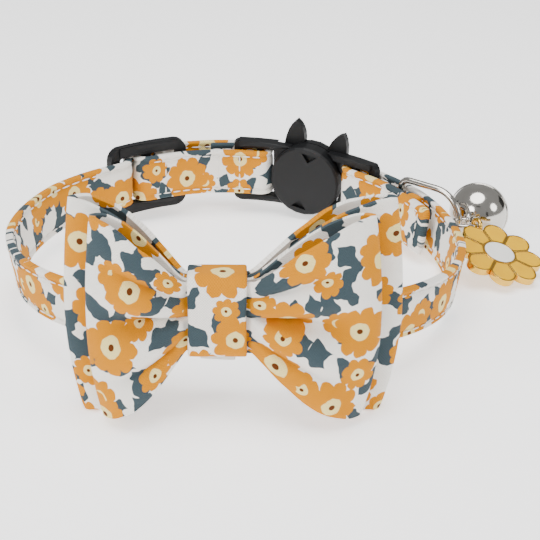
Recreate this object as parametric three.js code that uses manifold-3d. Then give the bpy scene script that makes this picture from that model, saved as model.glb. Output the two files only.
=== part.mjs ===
// A cat-size collar of printed cotton: a flat strap in a closed neck loop, a bow of two nested cloth loops
// under a knot band, a three-bar slider, a breakaway buckle with an eared head, a D-ring in a sewn fold,
// and a bell and a daisy charm on one jump ring. Millimetres, +Z up, the bow in front at -Y.
// The collar lies as on a table: the bow's lower corners and the buckle's chin touch the ground, and the
// bell and the charm lie beside the strap.
import * as THREE from 'three';
import { mergeVertices } from 'three/addons/utils/BufferGeometryUtils.js';
import Module from 'manifold-3d';

const wasm = await Module();
wasm.setup();

// Clearances
const seat_gap = 0.3; // between pieces that lie against each other
const overlap = 0.4; // how far two lumps of one solid run into each other
const cut_over = 1; // how far a cutter runs past the face it opens
const sliver = 0.02; // edges shorter than this are closed up

// Strap
const strap_width = 10;
const strap_thickness = 1.6;
const strap_bevel = 0.3;
const strap_step = 4.2;

// Neck loop, seen from above, in its own plane
const loop_half_width = 43.2;
const loop_half_depth = 44.9;
const loop_sag = 1.8; // the sides hang this far below the mean, the front and back stand as far above
const right_drop = 1.3; // the right side hangs lower and the left side higher by this much

// How far the strap's top edge leans outward, round the loop from the right side
const flare_rows = [
  { at: 0, flare: 12 },
  { at: 41, flare: 6 },
  { at: 68, flare: -4 },
  { at: 115, flare: -2 },
  { at: 180, flare: 12 },
  { at: 270, flare: 5 },
  { at: 360, flare: 12 },
];

// Layers of strap behind the bars of the buckle and the slider
const bar_half = 0.9; // half thickness of every bar that the strap turns round
const fold_ease = 0.25; // how much looser than its bar a fold is
const layer = bar_half + seat_gap + fold_ease + strap_thickness / 2;
const tail_layer = layer + strap_thickness + seat_gap;

// Breakaway buckle, measured along the strap from the middle of its head
const head_at = 68; // degrees round the loop
const head_radius = 7.9;
const head_plate = 3.4;
const head_front = 2.4;
const head_bevel = 0.4;
const chin_room = 1.1; // how far the buckle's chin is above the table
const head_turn = 12; // degrees, the ears and the recesses lean towards the D-ring by this much
const boss_radius = 3.4;
const boss_height = 1.2;
const web_bar_at = 11.4;
const web_bar_half = 0.45; // along the strap
const frame_reach = 17;
const end_bar = 1.6;
const frame_half_height = 6.9;
const rib_half = 1.5;
const ear_tip = { x: 5.6, y: 11.9 };
const ear_in = { x: 2.7, y: 6.6 };
const ear_out = { x: 7.0, y: 3.2 };
const window_corner = 0.3; // corner radius of the windows and the ribs
const window_room = 0.1;
const frame_corner = 1.2;
const rail_root = 0.45; // share of the head's radius at which the rails begin
const rail_inset = 0.15;
const rail_short = 1; // how much sooner than the frame the rails end
const ear_in_bow = { x: 0.2, y: 1.2 };
const ear_out_bow = { x: 2.2, y: 2.6 };
const ear_sink = 0.2;
const ear_room = 2.2; // how far past the head the left rails stay clear of the ears
const notch_at = 5.5;
const notch_base = 3.6;
const notch_height = 1.9;
const notch_depth = 1;

// Slider, measured along the strap from the middle of the buckle's head
const slider_rib_inset = 0.15;
const slider_rib_start = 0.8; // share of the corner's radius
const slider_at = 37.3;
const slider_length = 18.4;
const slider_height = 15.5;
const slider_corner = 2.6;
const slider_bar = 2.3;
const slider_rib = 1.3;
const centre_bar = 1.6;

// Sewn ends of the strap
const short_end_at = 22;
const short_return_at = 32.5;
const tail_end_at = 13;
const tail_fold = 4.5;
const tail_fold_thickness = 2.6;
const pillow_length = 12;
const pillow_thickness = 3;
const sewn_length = 3.8;

// D-ring, whose bar lies in the fold past the buckle's right end
const ring_bar_at = 23.8;
const ring_wire = 0.7;
const ring_inner = 11.3;
const ring_depth = 14.5;
const ring_corner = 1.4;
const ring_swing = 71; // degrees from straight out towards the front
const ring_droop = 2.6; // degrees
const ring_lift = 0.2;

// Jump ring
const jump_radius = 3.2;
const jump_wire = 0.45;
const jump_offset = { x: 1.3, y: -1.2, z: 1.0 };
const jump_tip = 8; // degrees, its front side up

// Bell
const bell_radius = 6.25;
const bell_wall = 0.5;
const bell_side = 66;
const bell_loop_radius = 1.5;
const bell_loop_wire = 0.45;
const bell_slot = 1;
const bell_hole = 1.2;
const bell_hole_at = 58; // degrees from the foot of the bell
const bell_seam = 0.35;
const seam_sunk = 0.4; // share of the seam's wire that is inside the shell
const slot_from = 0.2; // share of the radius past the bell's middle at which the slot begins
const bell_loop_slack = 0.2;

// Charm
const charm_side = -50; // degrees round the jump ring
const charm_heading = 113;
const charm_pitch = 20;
const charm_roll = 8;
const charm_thickness = 1.5;
const petal_count = 8;
const petal_at = 5.8;
const petal_long = 3.4;
const petal_wide = 2.65;
const charm_hub = 3.3;
const charm_rim = 0.4;
const cup_depth = 0.35;
const bail_radius = 1.3;
const bail_wire = 0.45;
const bail_reach = 9.3;
const bail_post = 0.5;

// Bow
const bow_side_shift = -3.1;
const bow_rise = 5.7; // the bow's middle above the strap's middle line
const bow_wall = 1.1;
const fold_gap = 0.2;
const front_left = 21;
const front_right = 26.4;
const front_half_height = 17.5;
const front_depth = 6.2;
const back_left = 25;
const back_right = 30.3;
const back_half_height = 19.1;
const back_depth = 5.2;
const upper_pull = 0.05; // share of the length by which a wing's upper corners fall short of its middle
const lower_pull = 0.11;
const rest_flat = 0.45; // how much of the lower corners is pressed flat by the table

// Outline and depth of a wing from the knot's edge to its end fold
const wing_rows = [
  { at: 0, height: 0, depth: 0 },
  { at: 0.08, height: 0.08, depth: 0.34 },
  { at: 0.16, height: 0.21, depth: 0.56 },
  { at: 0.34, height: 0.48, depth: 0.88 },
  { at: 0.49, height: 0.675, depth: 1 },
  { at: 0.64, height: 0.83, depth: 0.96 },
  { at: 0.86, height: 0.975, depth: 0.66 },
  { at: 1, height: 1, depth: 0.45 },
];
// The crease that runs from the knot along a wing's middle
const crease_depth = 0.8;
const crease_half = 0.2;
const crease_reach = 0.85;
const lobe_droop = 0.22;

// Knot and the loop behind it
const knot_width = 9.8;
const knot_height = 14.6;
const knot_wall = 1.2;
const knot_corner = 1.7;
const elastic_width = 6;
const elastic_thickness = 0.8;

const degrees = THREE.MathUtils.degToRad;

// Reads a column of a short table, straight between its rows
function fromRows(rows, at, column) {
  const place = THREE.MathUtils.clamp(at, rows[0].at, rows[rows.length - 1].at);
  const next = Math.max(1, rows.findIndex((row) => row.at >= place));
  const low = rows[next - 1];
  const high = rows[next];
  const share = (place - low.at) / (high.at - low.at);
  return THREE.MathUtils.lerp(low[column], high[column], share);
}

// Neck loop: arc length round the ellipse, from the front to the front again
const loop_samples = 720;
const loop_lengths = [0];
function loopPlan(turn) {
  return new THREE.Vector2(loop_half_width * Math.cos(turn), loop_half_depth * Math.sin(turn));
}
for (let i = 1; i <= loop_samples; i += 1) {
  const before = loopPlan(-Math.PI / 2 + (2 * Math.PI * (i - 1)) / loop_samples);
  const after = loopPlan(-Math.PI / 2 + (2 * Math.PI * i) / loop_samples);
  loop_lengths.push(loop_lengths[i - 1] + before.distanceTo(after));
}
const loop_length = loop_lengths[loop_samples];
const head_length = loop_lengths[Math.round(((head_at + 90) / 360) * loop_samples)];

// Angle round the loop at a distance along the strap from the buckle's head
function turnAt(distance) {
  const place = THREE.MathUtils.euclideanModulo(head_length + distance, loop_length);
  let low = 0;
  let high = loop_samples;
  while (high - low > 1) {
    const middle = (low + high) >> 1;
    if (loop_lengths[middle] <= place) low = middle;
    else high = middle;
  }
  const share = (place - loop_lengths[low]) / (loop_lengths[high] - loop_lengths[low]);
  return -Math.PI / 2 + (2 * Math.PI * (low + share)) / loop_samples;
}

function strapLift(turn) {
  return -right_drop * Math.cos(turn) - loop_sag * Math.cos(2 * turn);
}

// Directions at a place on the strap: along it, out of the loop, and up its width
function strapFrame(distance) {
  const turn = turnAt(distance);
  const plan = loopPlan(turn);
  const along = new THREE.Vector3(-loop_half_width * Math.sin(turn), loop_half_depth * Math.cos(turn), 0);
  along.normalize();
  const outward = new THREE.Vector3(along.y, -along.x, 0);
  const angle = THREE.MathUtils.euclideanModulo(THREE.MathUtils.radToDeg(turn), 360);
  const flare = degrees(fromRows(flare_rows, angle, 'flare'));
  const up = new THREE.Vector3(0, 0, Math.cos(flare)).addScaledVector(outward, Math.sin(flare));
  const out = outward.clone().multiplyScalar(Math.cos(flare));
  out.z = -Math.sin(flare);
  return { at: new THREE.Vector3(plan.x, plan.y, strapLift(turn)), along, out, up };
}

// A point given along the strap, out from its middle line and up its width, in the loop's plane
function onLoop(distance, out, up) {
  const frame = strapFrame(distance);
  return frame.at.clone().addScaledVector(frame.out, out).addScaledVector(frame.up, up);
}

// How the loop leans on the table: from the bow's lower corners to below the buckle's chin
const head_gap = seat_gap / 2;
const chin = onLoop(0, -(head_gap + head_plate), -head_radius - chin_room);
const front_strap = onLoop(-head_length, 0, 0);
const elastic_half = strap_width / 2 + seat_gap + elastic_thickness;
const front_lean = elastic_half * Math.sin(degrees(fromRows(flare_rows, 270, 'flare')));
const strap_to_knot = strap_thickness / 2 + seat_gap + elastic_thickness + seat_gap;
const knot_half_depth = seat_gap / 2 + bow_wall * 2 + fold_gap + seat_gap + knot_wall;
const bow_middle_y = front_strap.y - strap_to_knot - front_lean - knot_half_depth;
const bow_middle_z = front_strap.z + bow_rise;
const tip_y = bow_middle_y + seat_gap / 2 + bow_wall + back_depth / 2;
const tip_z = bow_middle_z - back_half_height + rest_flat;
const lean = Math.atan2(chin.z - tip_z, chin.y - tip_y);
const loop_height = chin.y * Math.sin(lean) - chin.z * Math.cos(lean);

// From the loop's plane to the table
function onTable(point) {
  const y = point.y * Math.cos(lean) + point.z * Math.sin(lean);
  const z = point.z * Math.cos(lean) - point.y * Math.sin(lean) + loop_height;
  return new THREE.Vector3(point.x, y, z);
}

// Puts each corner of a shape at a new place
function reshape(geometry, place) {
  const corners = geometry.attributes.position;
  const corner = new THREE.Vector3();
  for (let i = 0; i < corners.count; i += 1) {
    corner.fromBufferAttribute(corners, i);
    const moved = place(corner);
    corners.setXYZ(i, moved.x, moved.y, moved.z);
  }
  return geometry;
}

// A closed shape as a solid, its faces pointing out
function solid(geometry) {
  const bare = geometry.clone();
  bare.deleteAttribute('normal');
  bare.deleteAttribute('uv');
  const merged = mergeVertices(bare, 1e-4);
  const corners = Float32Array.from(merged.attributes.position.array);
  const faces = Uint32Array.from(merged.index.array);
  let volume = 0;
  const a = new THREE.Vector3();
  const b = new THREE.Vector3();
  const c = new THREE.Vector3();
  for (let i = 0; i < faces.length; i += 3) {
    a.fromArray(corners, faces[i] * 3);
    b.fromArray(corners, faces[i + 1] * 3);
    c.fromArray(corners, faces[i + 2] * 3);
    volume += a.dot(b.cross(c));
  }
  if (volume < 0) {
    for (let i = 0; i < faces.length; i += 3) {
      const first = faces[i];
      faces[i] = faces[i + 1];
      faces[i + 1] = first;
    }
  }
  return new wasm.Manifold(new wasm.Mesh({ numProp: 3, vertProperties: corners, triVerts: faces }));
}

function joined(first, ...others) {
  return others.reduce((sum, other) => sum.add(other), first);
}

// A rectangle with cut corners, across the strap: thickness by width
function bandSection(thickness, width, bevel) {
  const x = thickness / 2;
  const y = width / 2;
  return new THREE.Shape([
    new THREE.Vector2(-x + bevel, -y),
    new THREE.Vector2(x - bevel, -y),
    new THREE.Vector2(x, -y + bevel),
    new THREE.Vector2(x, y - bevel),
    new THREE.Vector2(x - bevel, y),
    new THREE.Vector2(-x + bevel, y),
    new THREE.Vector2(-x, y - bevel),
    new THREE.Vector2(-x, -y + bevel),
  ]);
}

// The places along a route in steps short enough to bend round the neck
function routePlaces(route) {
  const places = [];
  for (const piece of route.curves) {
    const straight = piece.isLineCurve;
    const count = straight ? Math.max(1, Math.ceil(piece.getLength() / strap_step)) : 6;
    const bends = piece.isSplineCurve ? piece.points.length * 2 - 1 : count;
    const points = piece.getPoints(straight ? count : bends);
    for (const point of points) {
      const last = places[places.length - 1];
      if (!last || last.distanceTo(point) > 0.01) places.push(point);
    }
  }
  return places;
}

// A band that follows a route drawn along the strap and out from its middle line
function band(route, thickness, width, bevel) {
  const places = routePlaces(route);
  const last = places.length - 1;
  const sides = places.map((place, i) => {
    const before = places[Math.max(i - 1, 0)];
    const after = places[Math.min(i + 1, last)];
    const way = after.clone().sub(before).normalize();
    return new THREE.Vector2(way.y, -way.x);
  });
  const shape = bandSection(thickness, width, bevel);
  const geometry = new THREE.ExtrudeGeometry(shape, { depth: last, steps: last, bevelEnabled: false });
  return solid(reshape(geometry, (corner) => {
    const i = Math.round(corner.z);
    const distance = places[i].x + sides[i].x * corner.x;
    const out = places[i].y + sides[i].y * corner.x;
    return onTable(onLoop(distance, out, corner.y));
  }));
}

// A straight block between two places along the strap, thinner at its free end
function block(from, to, out, thickness, width, bevel, end_share) {
  const steps = Math.max(2, Math.ceil(Math.abs(to - from) / strap_step) + 1);
  const shape = bandSection(thickness, width, bevel);
  const geometry = new THREE.ExtrudeGeometry(shape, { depth: steps, steps, bevelEnabled: false });
  return solid(reshape(geometry, (corner) => {
    const share = corner.z >= steps - 0.5 ? 1 : (thin_from * corner.z) / (steps - 1);
    const thin = share === 1 ? end_share : 1;
    return onTable(onLoop(THREE.MathUtils.lerp(from, to, share), out + corner.x * thin, corner.y));
  }));
}

// Corners of a rounded rectangle with its long sides in steps
function roundedCorners(left, right, low, high, radius) {
  const points = [];
  const arc_steps = radius > 0.5 ? 4 : 1;
  const count = Math.ceil((right - left) / strap_step);
  const arc = (x, y, start) => {
    for (let i = 0; i <= arc_steps; i += 1) {
      const turn = start + ((Math.PI / 2) * i) / arc_steps;
      points.push(new THREE.Vector2(x + radius * Math.cos(turn), y + radius * Math.sin(turn)));
    }
  };
  const side = (from, to, y) => {
    for (let i = 1; i < count; i += 1) points.push(new THREE.Vector2(THREE.MathUtils.lerp(from, to, i / count), y));
  };
  side(left + radius, right - radius, low);
  arc(right - radius, low + radius, -Math.PI / 2);
  arc(right - radius, high - radius, 0);
  side(right - radius, left + radius, high);
  arc(left + radius, high - radius, Math.PI / 2);
  arc(left + radius, low + radius, Math.PI);
  return points;
}

// A flat plate in the strap's own surface, with windows, bent with the loop
function plate(outline, windows, thickness) {
  const shape = new THREE.Shape(outline);
  shape.holes = windows.map((window) => new THREE.Path(window));
  const geometry = new THREE.ExtrudeGeometry(shape, { depth: thickness, steps: 1, bevelEnabled: false });
  return solid(reshape(geometry, (corner) => onTable(onLoop(corner.x, corner.z - thickness / 2, corner.y))));
}

// How the folded end eases back to the middle line, past the sewn end
const fold_return_rows = [
  { past: 7, layers: 0.62 },
  { past: 15, layers: 0.25 },
  { past: 24, layers: 0 },
];

// How the strap dives through the slider's window, and how its tail settles on the doubled strap
const slider_approach = 16;
const under_bar = 1.05;
const dive_thickness = 0.58;
const dive_rows = [
  { before: 0.85, layers: -0.75 },
  { before: 0, layers: 0 },
  { before: -0.65, layers: 0.8 },
];
const tail_rise_rows = [
  { past: 2.2, layers: 0.9 },
  { past: 5.4, layers: 1 },
];

// The sewn ends: bevels, and how much thinner a free end is
const thin_from = 0.92;
const pillow_bevel = 0.8;
const pillow_thin = 0.5;
const sewn_fill = 1.7; // share of the layer
const sewn_inset = 0.6;
const sewn_bevel = 0.2;
const tail_fold_inset = 0.2;
const tail_fold_bevel = 0.6;
const tail_fold_thin = 0.6;

// The strap's long run: sewn end, fold round the buckle's right bar, neck loop, slider, tail
function longStrap() {
  const route = new THREE.Path();
  const pillow_start = -(ring_bar_at + ring_wire + seat_gap + strap_thickness);
  route.moveTo(pillow_start - overlap * 2, -layer);
  route.lineTo(-web_bar_at, -layer);
  route.absarc(-web_bar_at, 0, layer, -Math.PI / 2, Math.PI / 2, false);
  route.lineTo(pillow_start, layer);
  const slider_left = slider_at + slider_length / 2;
  const wrap_reach = centre_bar / 2 + seat_gap + fold_ease + strap_thickness;
  const dive = slider_at + wrap_reach + seat_gap * 2 + strap_thickness * dive_thickness;
  const far = (distance) => distance - loop_length;
  route.splineThru(fold_return_rows.map((row) => new THREE.Vector2(pillow_start - row.past, layer * row.layers)));
  route.lineTo(far(slider_left + slider_approach), 0);
  route.splineThru([
    new THREE.Vector2(far(slider_left + slider_approach / 2), -layer / 2),
    new THREE.Vector2(far(slider_left), -layer * under_bar),
    new THREE.Vector2(far(slider_left - slider_bar), -layer * under_bar),
    ...dive_rows.map((row) => new THREE.Vector2(far(dive + row.before), layer * row.layers)),
    ...tail_rise_rows.map((row) => new THREE.Vector2(far(dive - row.past), tail_layer * row.layers)),
  ]);
  route.lineTo(far(tail_end_at), tail_layer);
  const run = band(route, strap_thickness, strap_width, strap_bevel);
  const pillow_out = -layer - (pillow_thickness - strap_thickness) / 4;
  const pillow_end = pillow_start - pillow_length;
  const pillow = block(pillow_start, pillow_end, pillow_out, pillow_thickness, strap_width, pillow_bevel, pillow_thin);
  const sewn_out = (layer + pillow_out) / 2;
  const sewn_end = pillow_start - sewn_length;
  const sewn = block(pillow_start, sewn_end, sewn_out, layer * sewn_fill, strap_width - sewn_inset, sewn_bevel, 1);
  const fold_out = tail_layer + (tail_fold_thickness - strap_thickness) / 2;
  const fold_start = tail_end_at + tail_fold;
  const fold_width = strap_width - tail_fold_inset;
  const fold = block(fold_start, tail_end_at, fold_out, tail_fold_thickness, fold_width, tail_fold_bevel, tail_fold_thin);
  return joined(run, pillow, sewn, fold);
}

// The doubled strap between the slider's middle bar and the buckle's left bar
function shortStrap() {
  const route = new THREE.Path();
  const wrap_across = centre_bar / 2 + seat_gap + fold_ease + strap_thickness / 2;
  route.moveTo(short_end_at, layer);
  route.lineTo(web_bar_at, layer);
  route.absarc(web_bar_at, 0, layer, Math.PI / 2, -Math.PI / 2 + 2 * Math.PI, false);
  route.lineTo(slider_at, -layer);
  route.absellipse(slider_at, 0, wrap_across, layer, -Math.PI / 2, Math.PI / 2, false, 0);
  route.lineTo(short_return_at, layer);
  return band(route, strap_thickness, strap_width, strap_bevel);
}

function slider() {
  const left = slider_at - slider_length / 2;
  const right = slider_at + slider_length / 2;
  const half = slider_height / 2;
  const slot = strap_width / 2 + seat_gap;
  const outline = roundedCorners(left, right, -half, half, slider_corner);
  const windows = [
    roundedCorners(left + slider_bar, slider_at - centre_bar / 2, -slot, slot, window_corner),
    roundedCorners(slider_at + centre_bar / 2, right - slider_bar, -slot, slot, window_corner),
  ];
  const body = plate(outline, windows, bar_half * 2);
  const rib_height = half - slot - slider_rib_inset * 2;
  const rib_middle = (half + slot) / 2;
  const rib = (side) => {
    const start = left + slider_corner * slider_rib_start;
    const end = right - slider_corner * slider_rib_start;
    const low = side * rib_middle - rib_height / 2;
    const corners = roundedCorners(start, end, low, low + rib_height, window_corner);
    return plate(corners, [], slider_rib * 2);
  };
  return joined(body, rib(1), rib(-1));
}

// One side's frame of the buckle: two rails, the bar that the strap turns round, and an end bar
function buckleFrame(side) {
  const slot = strap_width / 2 + seat_gap;
  const inner = head_radius * rail_root;
  const turn = (corners) => (side > 0 ? corners : corners.map((c) => new THREE.Vector2(-c.x, c.y)).reverse());
  const outline = turn(roundedCorners(inner, frame_reach, -frame_half_height, frame_half_height, frame_corner));
  const windows = [
    turn(roundedCorners(head_radius + window_room, web_bar_at - web_bar_half, -slot, slot, window_corner)),
    turn(roundedCorners(web_bar_at + web_bar_half, frame_reach - end_bar, -slot, slot, window_corner)),
  ];
  const body = plate(outline, windows, bar_half * 2);
  const rail_low = slot + rail_inset;
  const rail = (up) => {
    const low = up > 0 ? rail_low : -frame_half_height;
    const high = up > 0 ? frame_half_height : -rail_low;
    return plate(turn(roundedCorners(inner, frame_reach - rail_short, low, high, window_corner)), [], rib_half * 2);
  };
  return joined(body, rail(1), rail(-1));
}

// The head's own place: X to the right as seen from inside the loop, Y up, Z towards the loop's middle
function headPlace() {
  const frame = strapFrame(0);
  const right = frame.along.clone().negate();
  const inward = frame.out.clone().negate();
  const place = new THREE.Matrix4().makeBasis(right, frame.up, inward).setPosition(frame.at);
  return (corner) => onTable(corner.clone().applyMatrix4(place));
}

// A round plate of the head, from one depth to another, its free edge bevelled
function headDisc(from, to, radius, bevel) {
  const step = Math.sign(to - from) * bevel;
  const profile = [
    new THREE.Vector2(0, from),
    new THREE.Vector2(radius, from),
    new THREE.Vector2(radius, to - step),
    new THREE.Vector2(radius - bevel, to),
    new THREE.Vector2(0, to),
  ];
  const disc = new THREE.LatheGeometry(profile, 24);
  disc.rotateX(Math.PI / 2);
  return solid(reshape(disc, headPlace()));
}

function headPrism(shape, from, to) {
  const geometry = new THREE.ExtrudeGeometry(shape, { depth: to - from, bevelEnabled: false, curveSegments: 5 });
  geometry.translate(0, 0, from);
  geometry.rotateZ(-degrees(head_turn));
  return solid(reshape(geometry, headPlace()));
}

// A shallow triangle in the back plate, its point towards the middle
function headNotch(side) {
  const face = head_gap + head_plate;
  const outer = side * (notch_at + notch_height / 2);
  const inner = side * (notch_at - notch_height / 2);
  const shape = new THREE.Shape([
    new THREE.Vector2(-notch_base / 2, outer),
    new THREE.Vector2(notch_base / 2, outer),
    new THREE.Vector2(0, inner),
  ]);
  return headPrism(shape, face - notch_depth, face + cut_over);
}

function buckleLeft() {
  const reach = head_radius + seat_gap + ear_room;
  const keep_clear = headDisc(head_gap, -rib_half - frame_reach, reach, 0);
  const frame = buckleFrame(1).subtract(keep_clear);
  const disc = headDisc(head_gap, head_gap + head_plate, head_radius, head_bevel);
  const socket = headDisc(head_gap - cut_over, head_gap + boss_height + seat_gap, boss_radius + seat_gap, 0);
  return joined(frame, disc).subtract(socket).subtract(headNotch(1)).subtract(headNotch(-1));
}

function ear(side) {
  const shape = new THREE.Shape();
  shape.moveTo(ear_in.x, ear_in.y);
  shape.quadraticCurveTo(ear_in.x + ear_in_bow.x, ear_tip.y - ear_in_bow.y, ear_tip.x, ear_tip.y);
  shape.quadraticCurveTo(ear_tip.x + ear_out_bow.x, ear_tip.y - ear_out_bow.y, ear_out.x, ear_out.y);
  shape.lineTo(ear_in.x, ear_out.y);
  const corners = shape.getPoints(5);
  const outline = side > 0 ? corners : corners.map((c) => new THREE.Vector2(-c.x, c.y)).reverse();
  return headPrism(new THREE.Shape(outline), -(head_gap + head_front - head_bevel), -head_gap - ear_sink);
}

function buckleRight() {
  const reach = head_radius + seat_gap;
  const keep_clear = headDisc(-head_gap, rib_half + frame_reach, reach, 0);
  const frame = buckleFrame(-1).subtract(keep_clear);
  const disc = headDisc(-head_gap, -(head_gap + head_front), head_radius, head_bevel);
  const boss = headDisc(-head_gap - overlap, head_gap + boss_height, boss_radius, 0);
  return joined(frame, disc, boss, ear(1), ear(-1));
}

// D-ring: depth out of the bar and height along it
function ringOutline() {
  const half = ring_inner / 2 + ring_wire;
  const leg = ring_depth - half;
  const outline = new THREE.Path();
  outline.absarc(ring_corner, -half + ring_corner, ring_corner, Math.PI, Math.PI * 1.5, false);
  outline.absarc(leg, 0, half, -Math.PI / 2, Math.PI / 2, false);
  outline.absarc(ring_corner, half - ring_corner, ring_corner, Math.PI / 2, Math.PI, false);
  const places = [];
  for (const piece of outline.curves) {
    if (piece.isLineCurve) continue;
    const count = piece.xRadius > ring_corner * 2 ? 12 : 3;
    places.push(...piece.getPoints(count));
  }
  return places;
}

function ringPlace() {
  const frame = strapFrame(-ring_bar_at);
  const swing = degrees(ring_swing);
  const level = frame.out.clone().multiplyScalar(Math.cos(swing));
  level.addScaledVector(frame.along, -Math.sin(swing));
  const droop = degrees(ring_droop);
  const depth = level.clone().multiplyScalar(Math.cos(droop)).addScaledVector(frame.up, -Math.sin(droop));
  const up = frame.up.clone().multiplyScalar(Math.cos(droop)).addScaledVector(level, Math.sin(droop));
  const across = depth.clone().cross(up);
  return (q, height, side) => {
    const point = frame.at.clone().addScaledVector(depth, q);
    point.addScaledVector(up, height + ring_lift).addScaledVector(across, side);
    return onTable(point);
  };
}

// A round wire closed on itself along an outline
function closedWire(outline, wire, sides, place) {
  const count = outline.length;
  const big = 10;
  const geometry = new THREE.TorusGeometry(big, 1, sides, count);
  return solid(reshape(geometry, (corner) => {
    const turn = Math.atan2(corner.y, corner.x) / (2 * Math.PI);
    const i = THREE.MathUtils.euclideanModulo(Math.round(turn * count), count);
    const before = outline[(i + count - 1) % count];
    const after = outline[(i + 1) % count];
    const way = after.clone().sub(before).normalize();
    const out = (Math.hypot(corner.x, corner.y) - big) * wire;
    return place(outline[i].x + way.y * out, outline[i].y - way.x * out, corner.z * wire);
  }));
}

function dRing() {
  return closedWire(ringOutline(), ring_wire, 6, ringPlace());
}

// Where the D-ring's outermost wire is, and the jump ring round it
const ring_end = ringPlace()(ring_depth, 0, 0);
const jump_middle = new THREE.Vector3(jump_offset.x, jump_offset.y, jump_offset.z).add(ring_end);
function onJumpRing(side) {
  const tip = degrees(jump_tip);
  const back = new THREE.Vector3(0, Math.cos(tip), -Math.sin(tip));
  const point = jump_middle.clone().addScaledVector(back, jump_radius * Math.sin(degrees(side)));
  point.x += jump_radius * Math.cos(degrees(side));
  return point;
}

function jumpRing() {
  const geometry = new THREE.TorusGeometry(jump_radius, jump_wire, 6, 16);
  geometry.rotateX(-degrees(jump_tip));
  geometry.translate(jump_middle.x, jump_middle.y, jump_middle.z);
  return solid(geometry);
}

// Bell: Z runs from its loop to its foot
function bellPlace() {
  const loop_middle = onJumpRing(bell_side);
  const reach = bell_radius + jump_wire + seat_gap;
  const climb = Math.asin((bell_radius + bell_seam * (1 - seam_sunk) - loop_middle.z) / reach);
  const heading = degrees(bell_side);
  const foot = new THREE.Vector3(Math.cos(heading), Math.sin(heading), 0).multiplyScalar(Math.cos(climb));
  foot.z = Math.sin(climb);
  const across = new THREE.Vector3(-Math.sin(heading), Math.cos(heading), 0);
  const up = foot.clone().cross(across);
  const middle = loop_middle.clone().addScaledVector(foot, reach);
  const place = new THREE.Matrix4().makeBasis(across, up, foot).setPosition(middle);
  return { place, reach };
}

function bell() {
  const { place, reach } = bellPlace();
  const shell = new THREE.SphereGeometry(bell_radius, 18, 12);
  shell.rotateX(Math.PI / 2);
  const hollow = new THREE.SphereGeometry(bell_radius - bell_wall, 12, 8);
  hollow.rotateX(Math.PI / 2);
  const seam = new THREE.TorusGeometry(bell_radius - bell_seam * seam_sunk, bell_seam, 4, 18);
  const loop = new THREE.TorusGeometry(bell_loop_radius, bell_loop_wire, 6, 12);
  loop.rotateY(Math.PI / 2);
  loop.translate(0, 0, -reach - jump_wire * bell_loop_slack);
  const slot_long = bell_radius * Math.sin(degrees(bell_hole_at));
  const slot = new THREE.BoxGeometry(bell_slot, slot_long * 2, bell_radius * 2);
  slot.translate(0, 0, bell_radius * (1 + slot_from));
  const hole = (side) => {
    const drill = new THREE.CylinderGeometry(bell_hole, bell_hole, bell_radius, 10);
    drill.rotateX(Math.PI / 2);
    drill.translate(0, 0, bell_radius);
    drill.rotateX(-side * degrees(bell_hole_at));
    return solid(drill);
  };
  const cuts = joined(solid(slot), hole(1), hole(-1));
  const body = joined(solid(shell), solid(seam), solid(loop)).subtract(solid(hollow)).subtract(cuts);
  return body.transform(place.elements);
}

// Charm: X across, Y towards its loop, Z out of its enamelled face
function charmPlace() {
  const loop_middle = onJumpRing(charm_side);
  const heading = degrees(charm_heading);
  const pitch = degrees(charm_pitch);
  const towards = new THREE.Vector3(Math.cos(heading), Math.sin(heading), 0).multiplyScalar(Math.cos(pitch));
  towards.z = Math.sin(pitch);
  const level = new THREE.Vector3(Math.sin(heading), -Math.cos(heading), 0);
  const face = level.clone().cross(towards);
  const roll = degrees(charm_roll);
  const across = level.clone().multiplyScalar(Math.cos(roll)).addScaledVector(face, -Math.sin(roll));
  const outward = across.clone().cross(towards);
  const middle = loop_middle.clone().addScaledVector(towards, -bail_reach);
  return new THREE.Matrix4().makeBasis(across, towards, outward).setPosition(middle);
}

// An upright oval prism at a place round the charm's middle
function petal(number, shrink, from, to) {
  const turn = (2 * Math.PI * (number + 0.5)) / petal_count + Math.PI / 2;
  const shape = new THREE.Shape();
  shape.absellipse(petal_at, 0, petal_long - shrink, petal_wide - shrink, 0, 2 * Math.PI, false, 0);
  const geometry = new THREE.ExtrudeGeometry(new THREE.Shape(shape.getPoints(12).slice(0, -1)), {
    depth: to - from,
    bevelEnabled: false,
  });
  geometry.translate(0, 0, from);
  geometry.rotateZ(turn);
  return solid(geometry);
}

function hub(radius, from, to) {
  const geometry = new THREE.CylinderGeometry(radius, radius, to - from, 16);
  geometry.rotateX(Math.PI / 2);
  geometry.translate(0, 0, (from + to) / 2);
  return solid(geometry);
}

function charm() {
  const top = charm_thickness / 2;
  const floor = top - cup_depth;
  let body = hub(petal_at, -top, floor);
  for (let i = 0; i < petal_count; i += 1) body = body.add(petal(i, 0, -top, top));
  for (let i = 0; i < petal_count; i += 1) body = body.subtract(petal(i, charm_rim, floor, top + cut_over));
  body = body.subtract(hub(charm_hub, floor, top + cut_over));
  body = body.add(hub(charm_hub, floor - overlap, top).subtract(hub(charm_hub - charm_rim, floor, top + cut_over)));
  const bail = new THREE.TorusGeometry(bail_radius, bail_wire, 5, 12);
  bail.rotateY(Math.PI / 2);
  bail.translate(0, bail_reach, 0);
  const place = charmPlace();
  const post = new THREE.CylinderGeometry(bail_post, bail_post, bail_reach - bail_radius - charm_hub, 6);
  post.translate(0, (bail_reach - bail_radius + charm_hub) / 2, 0);
  const lumps = joined(body, solid(post), solid(bail)).simplify(sliver).decompose();
  const charm_lump = lumps.reduce((big, lump) => (lump.volume() > big.volume() ? lump : big));
  return charm_lump.transform(place.elements);
}

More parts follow.
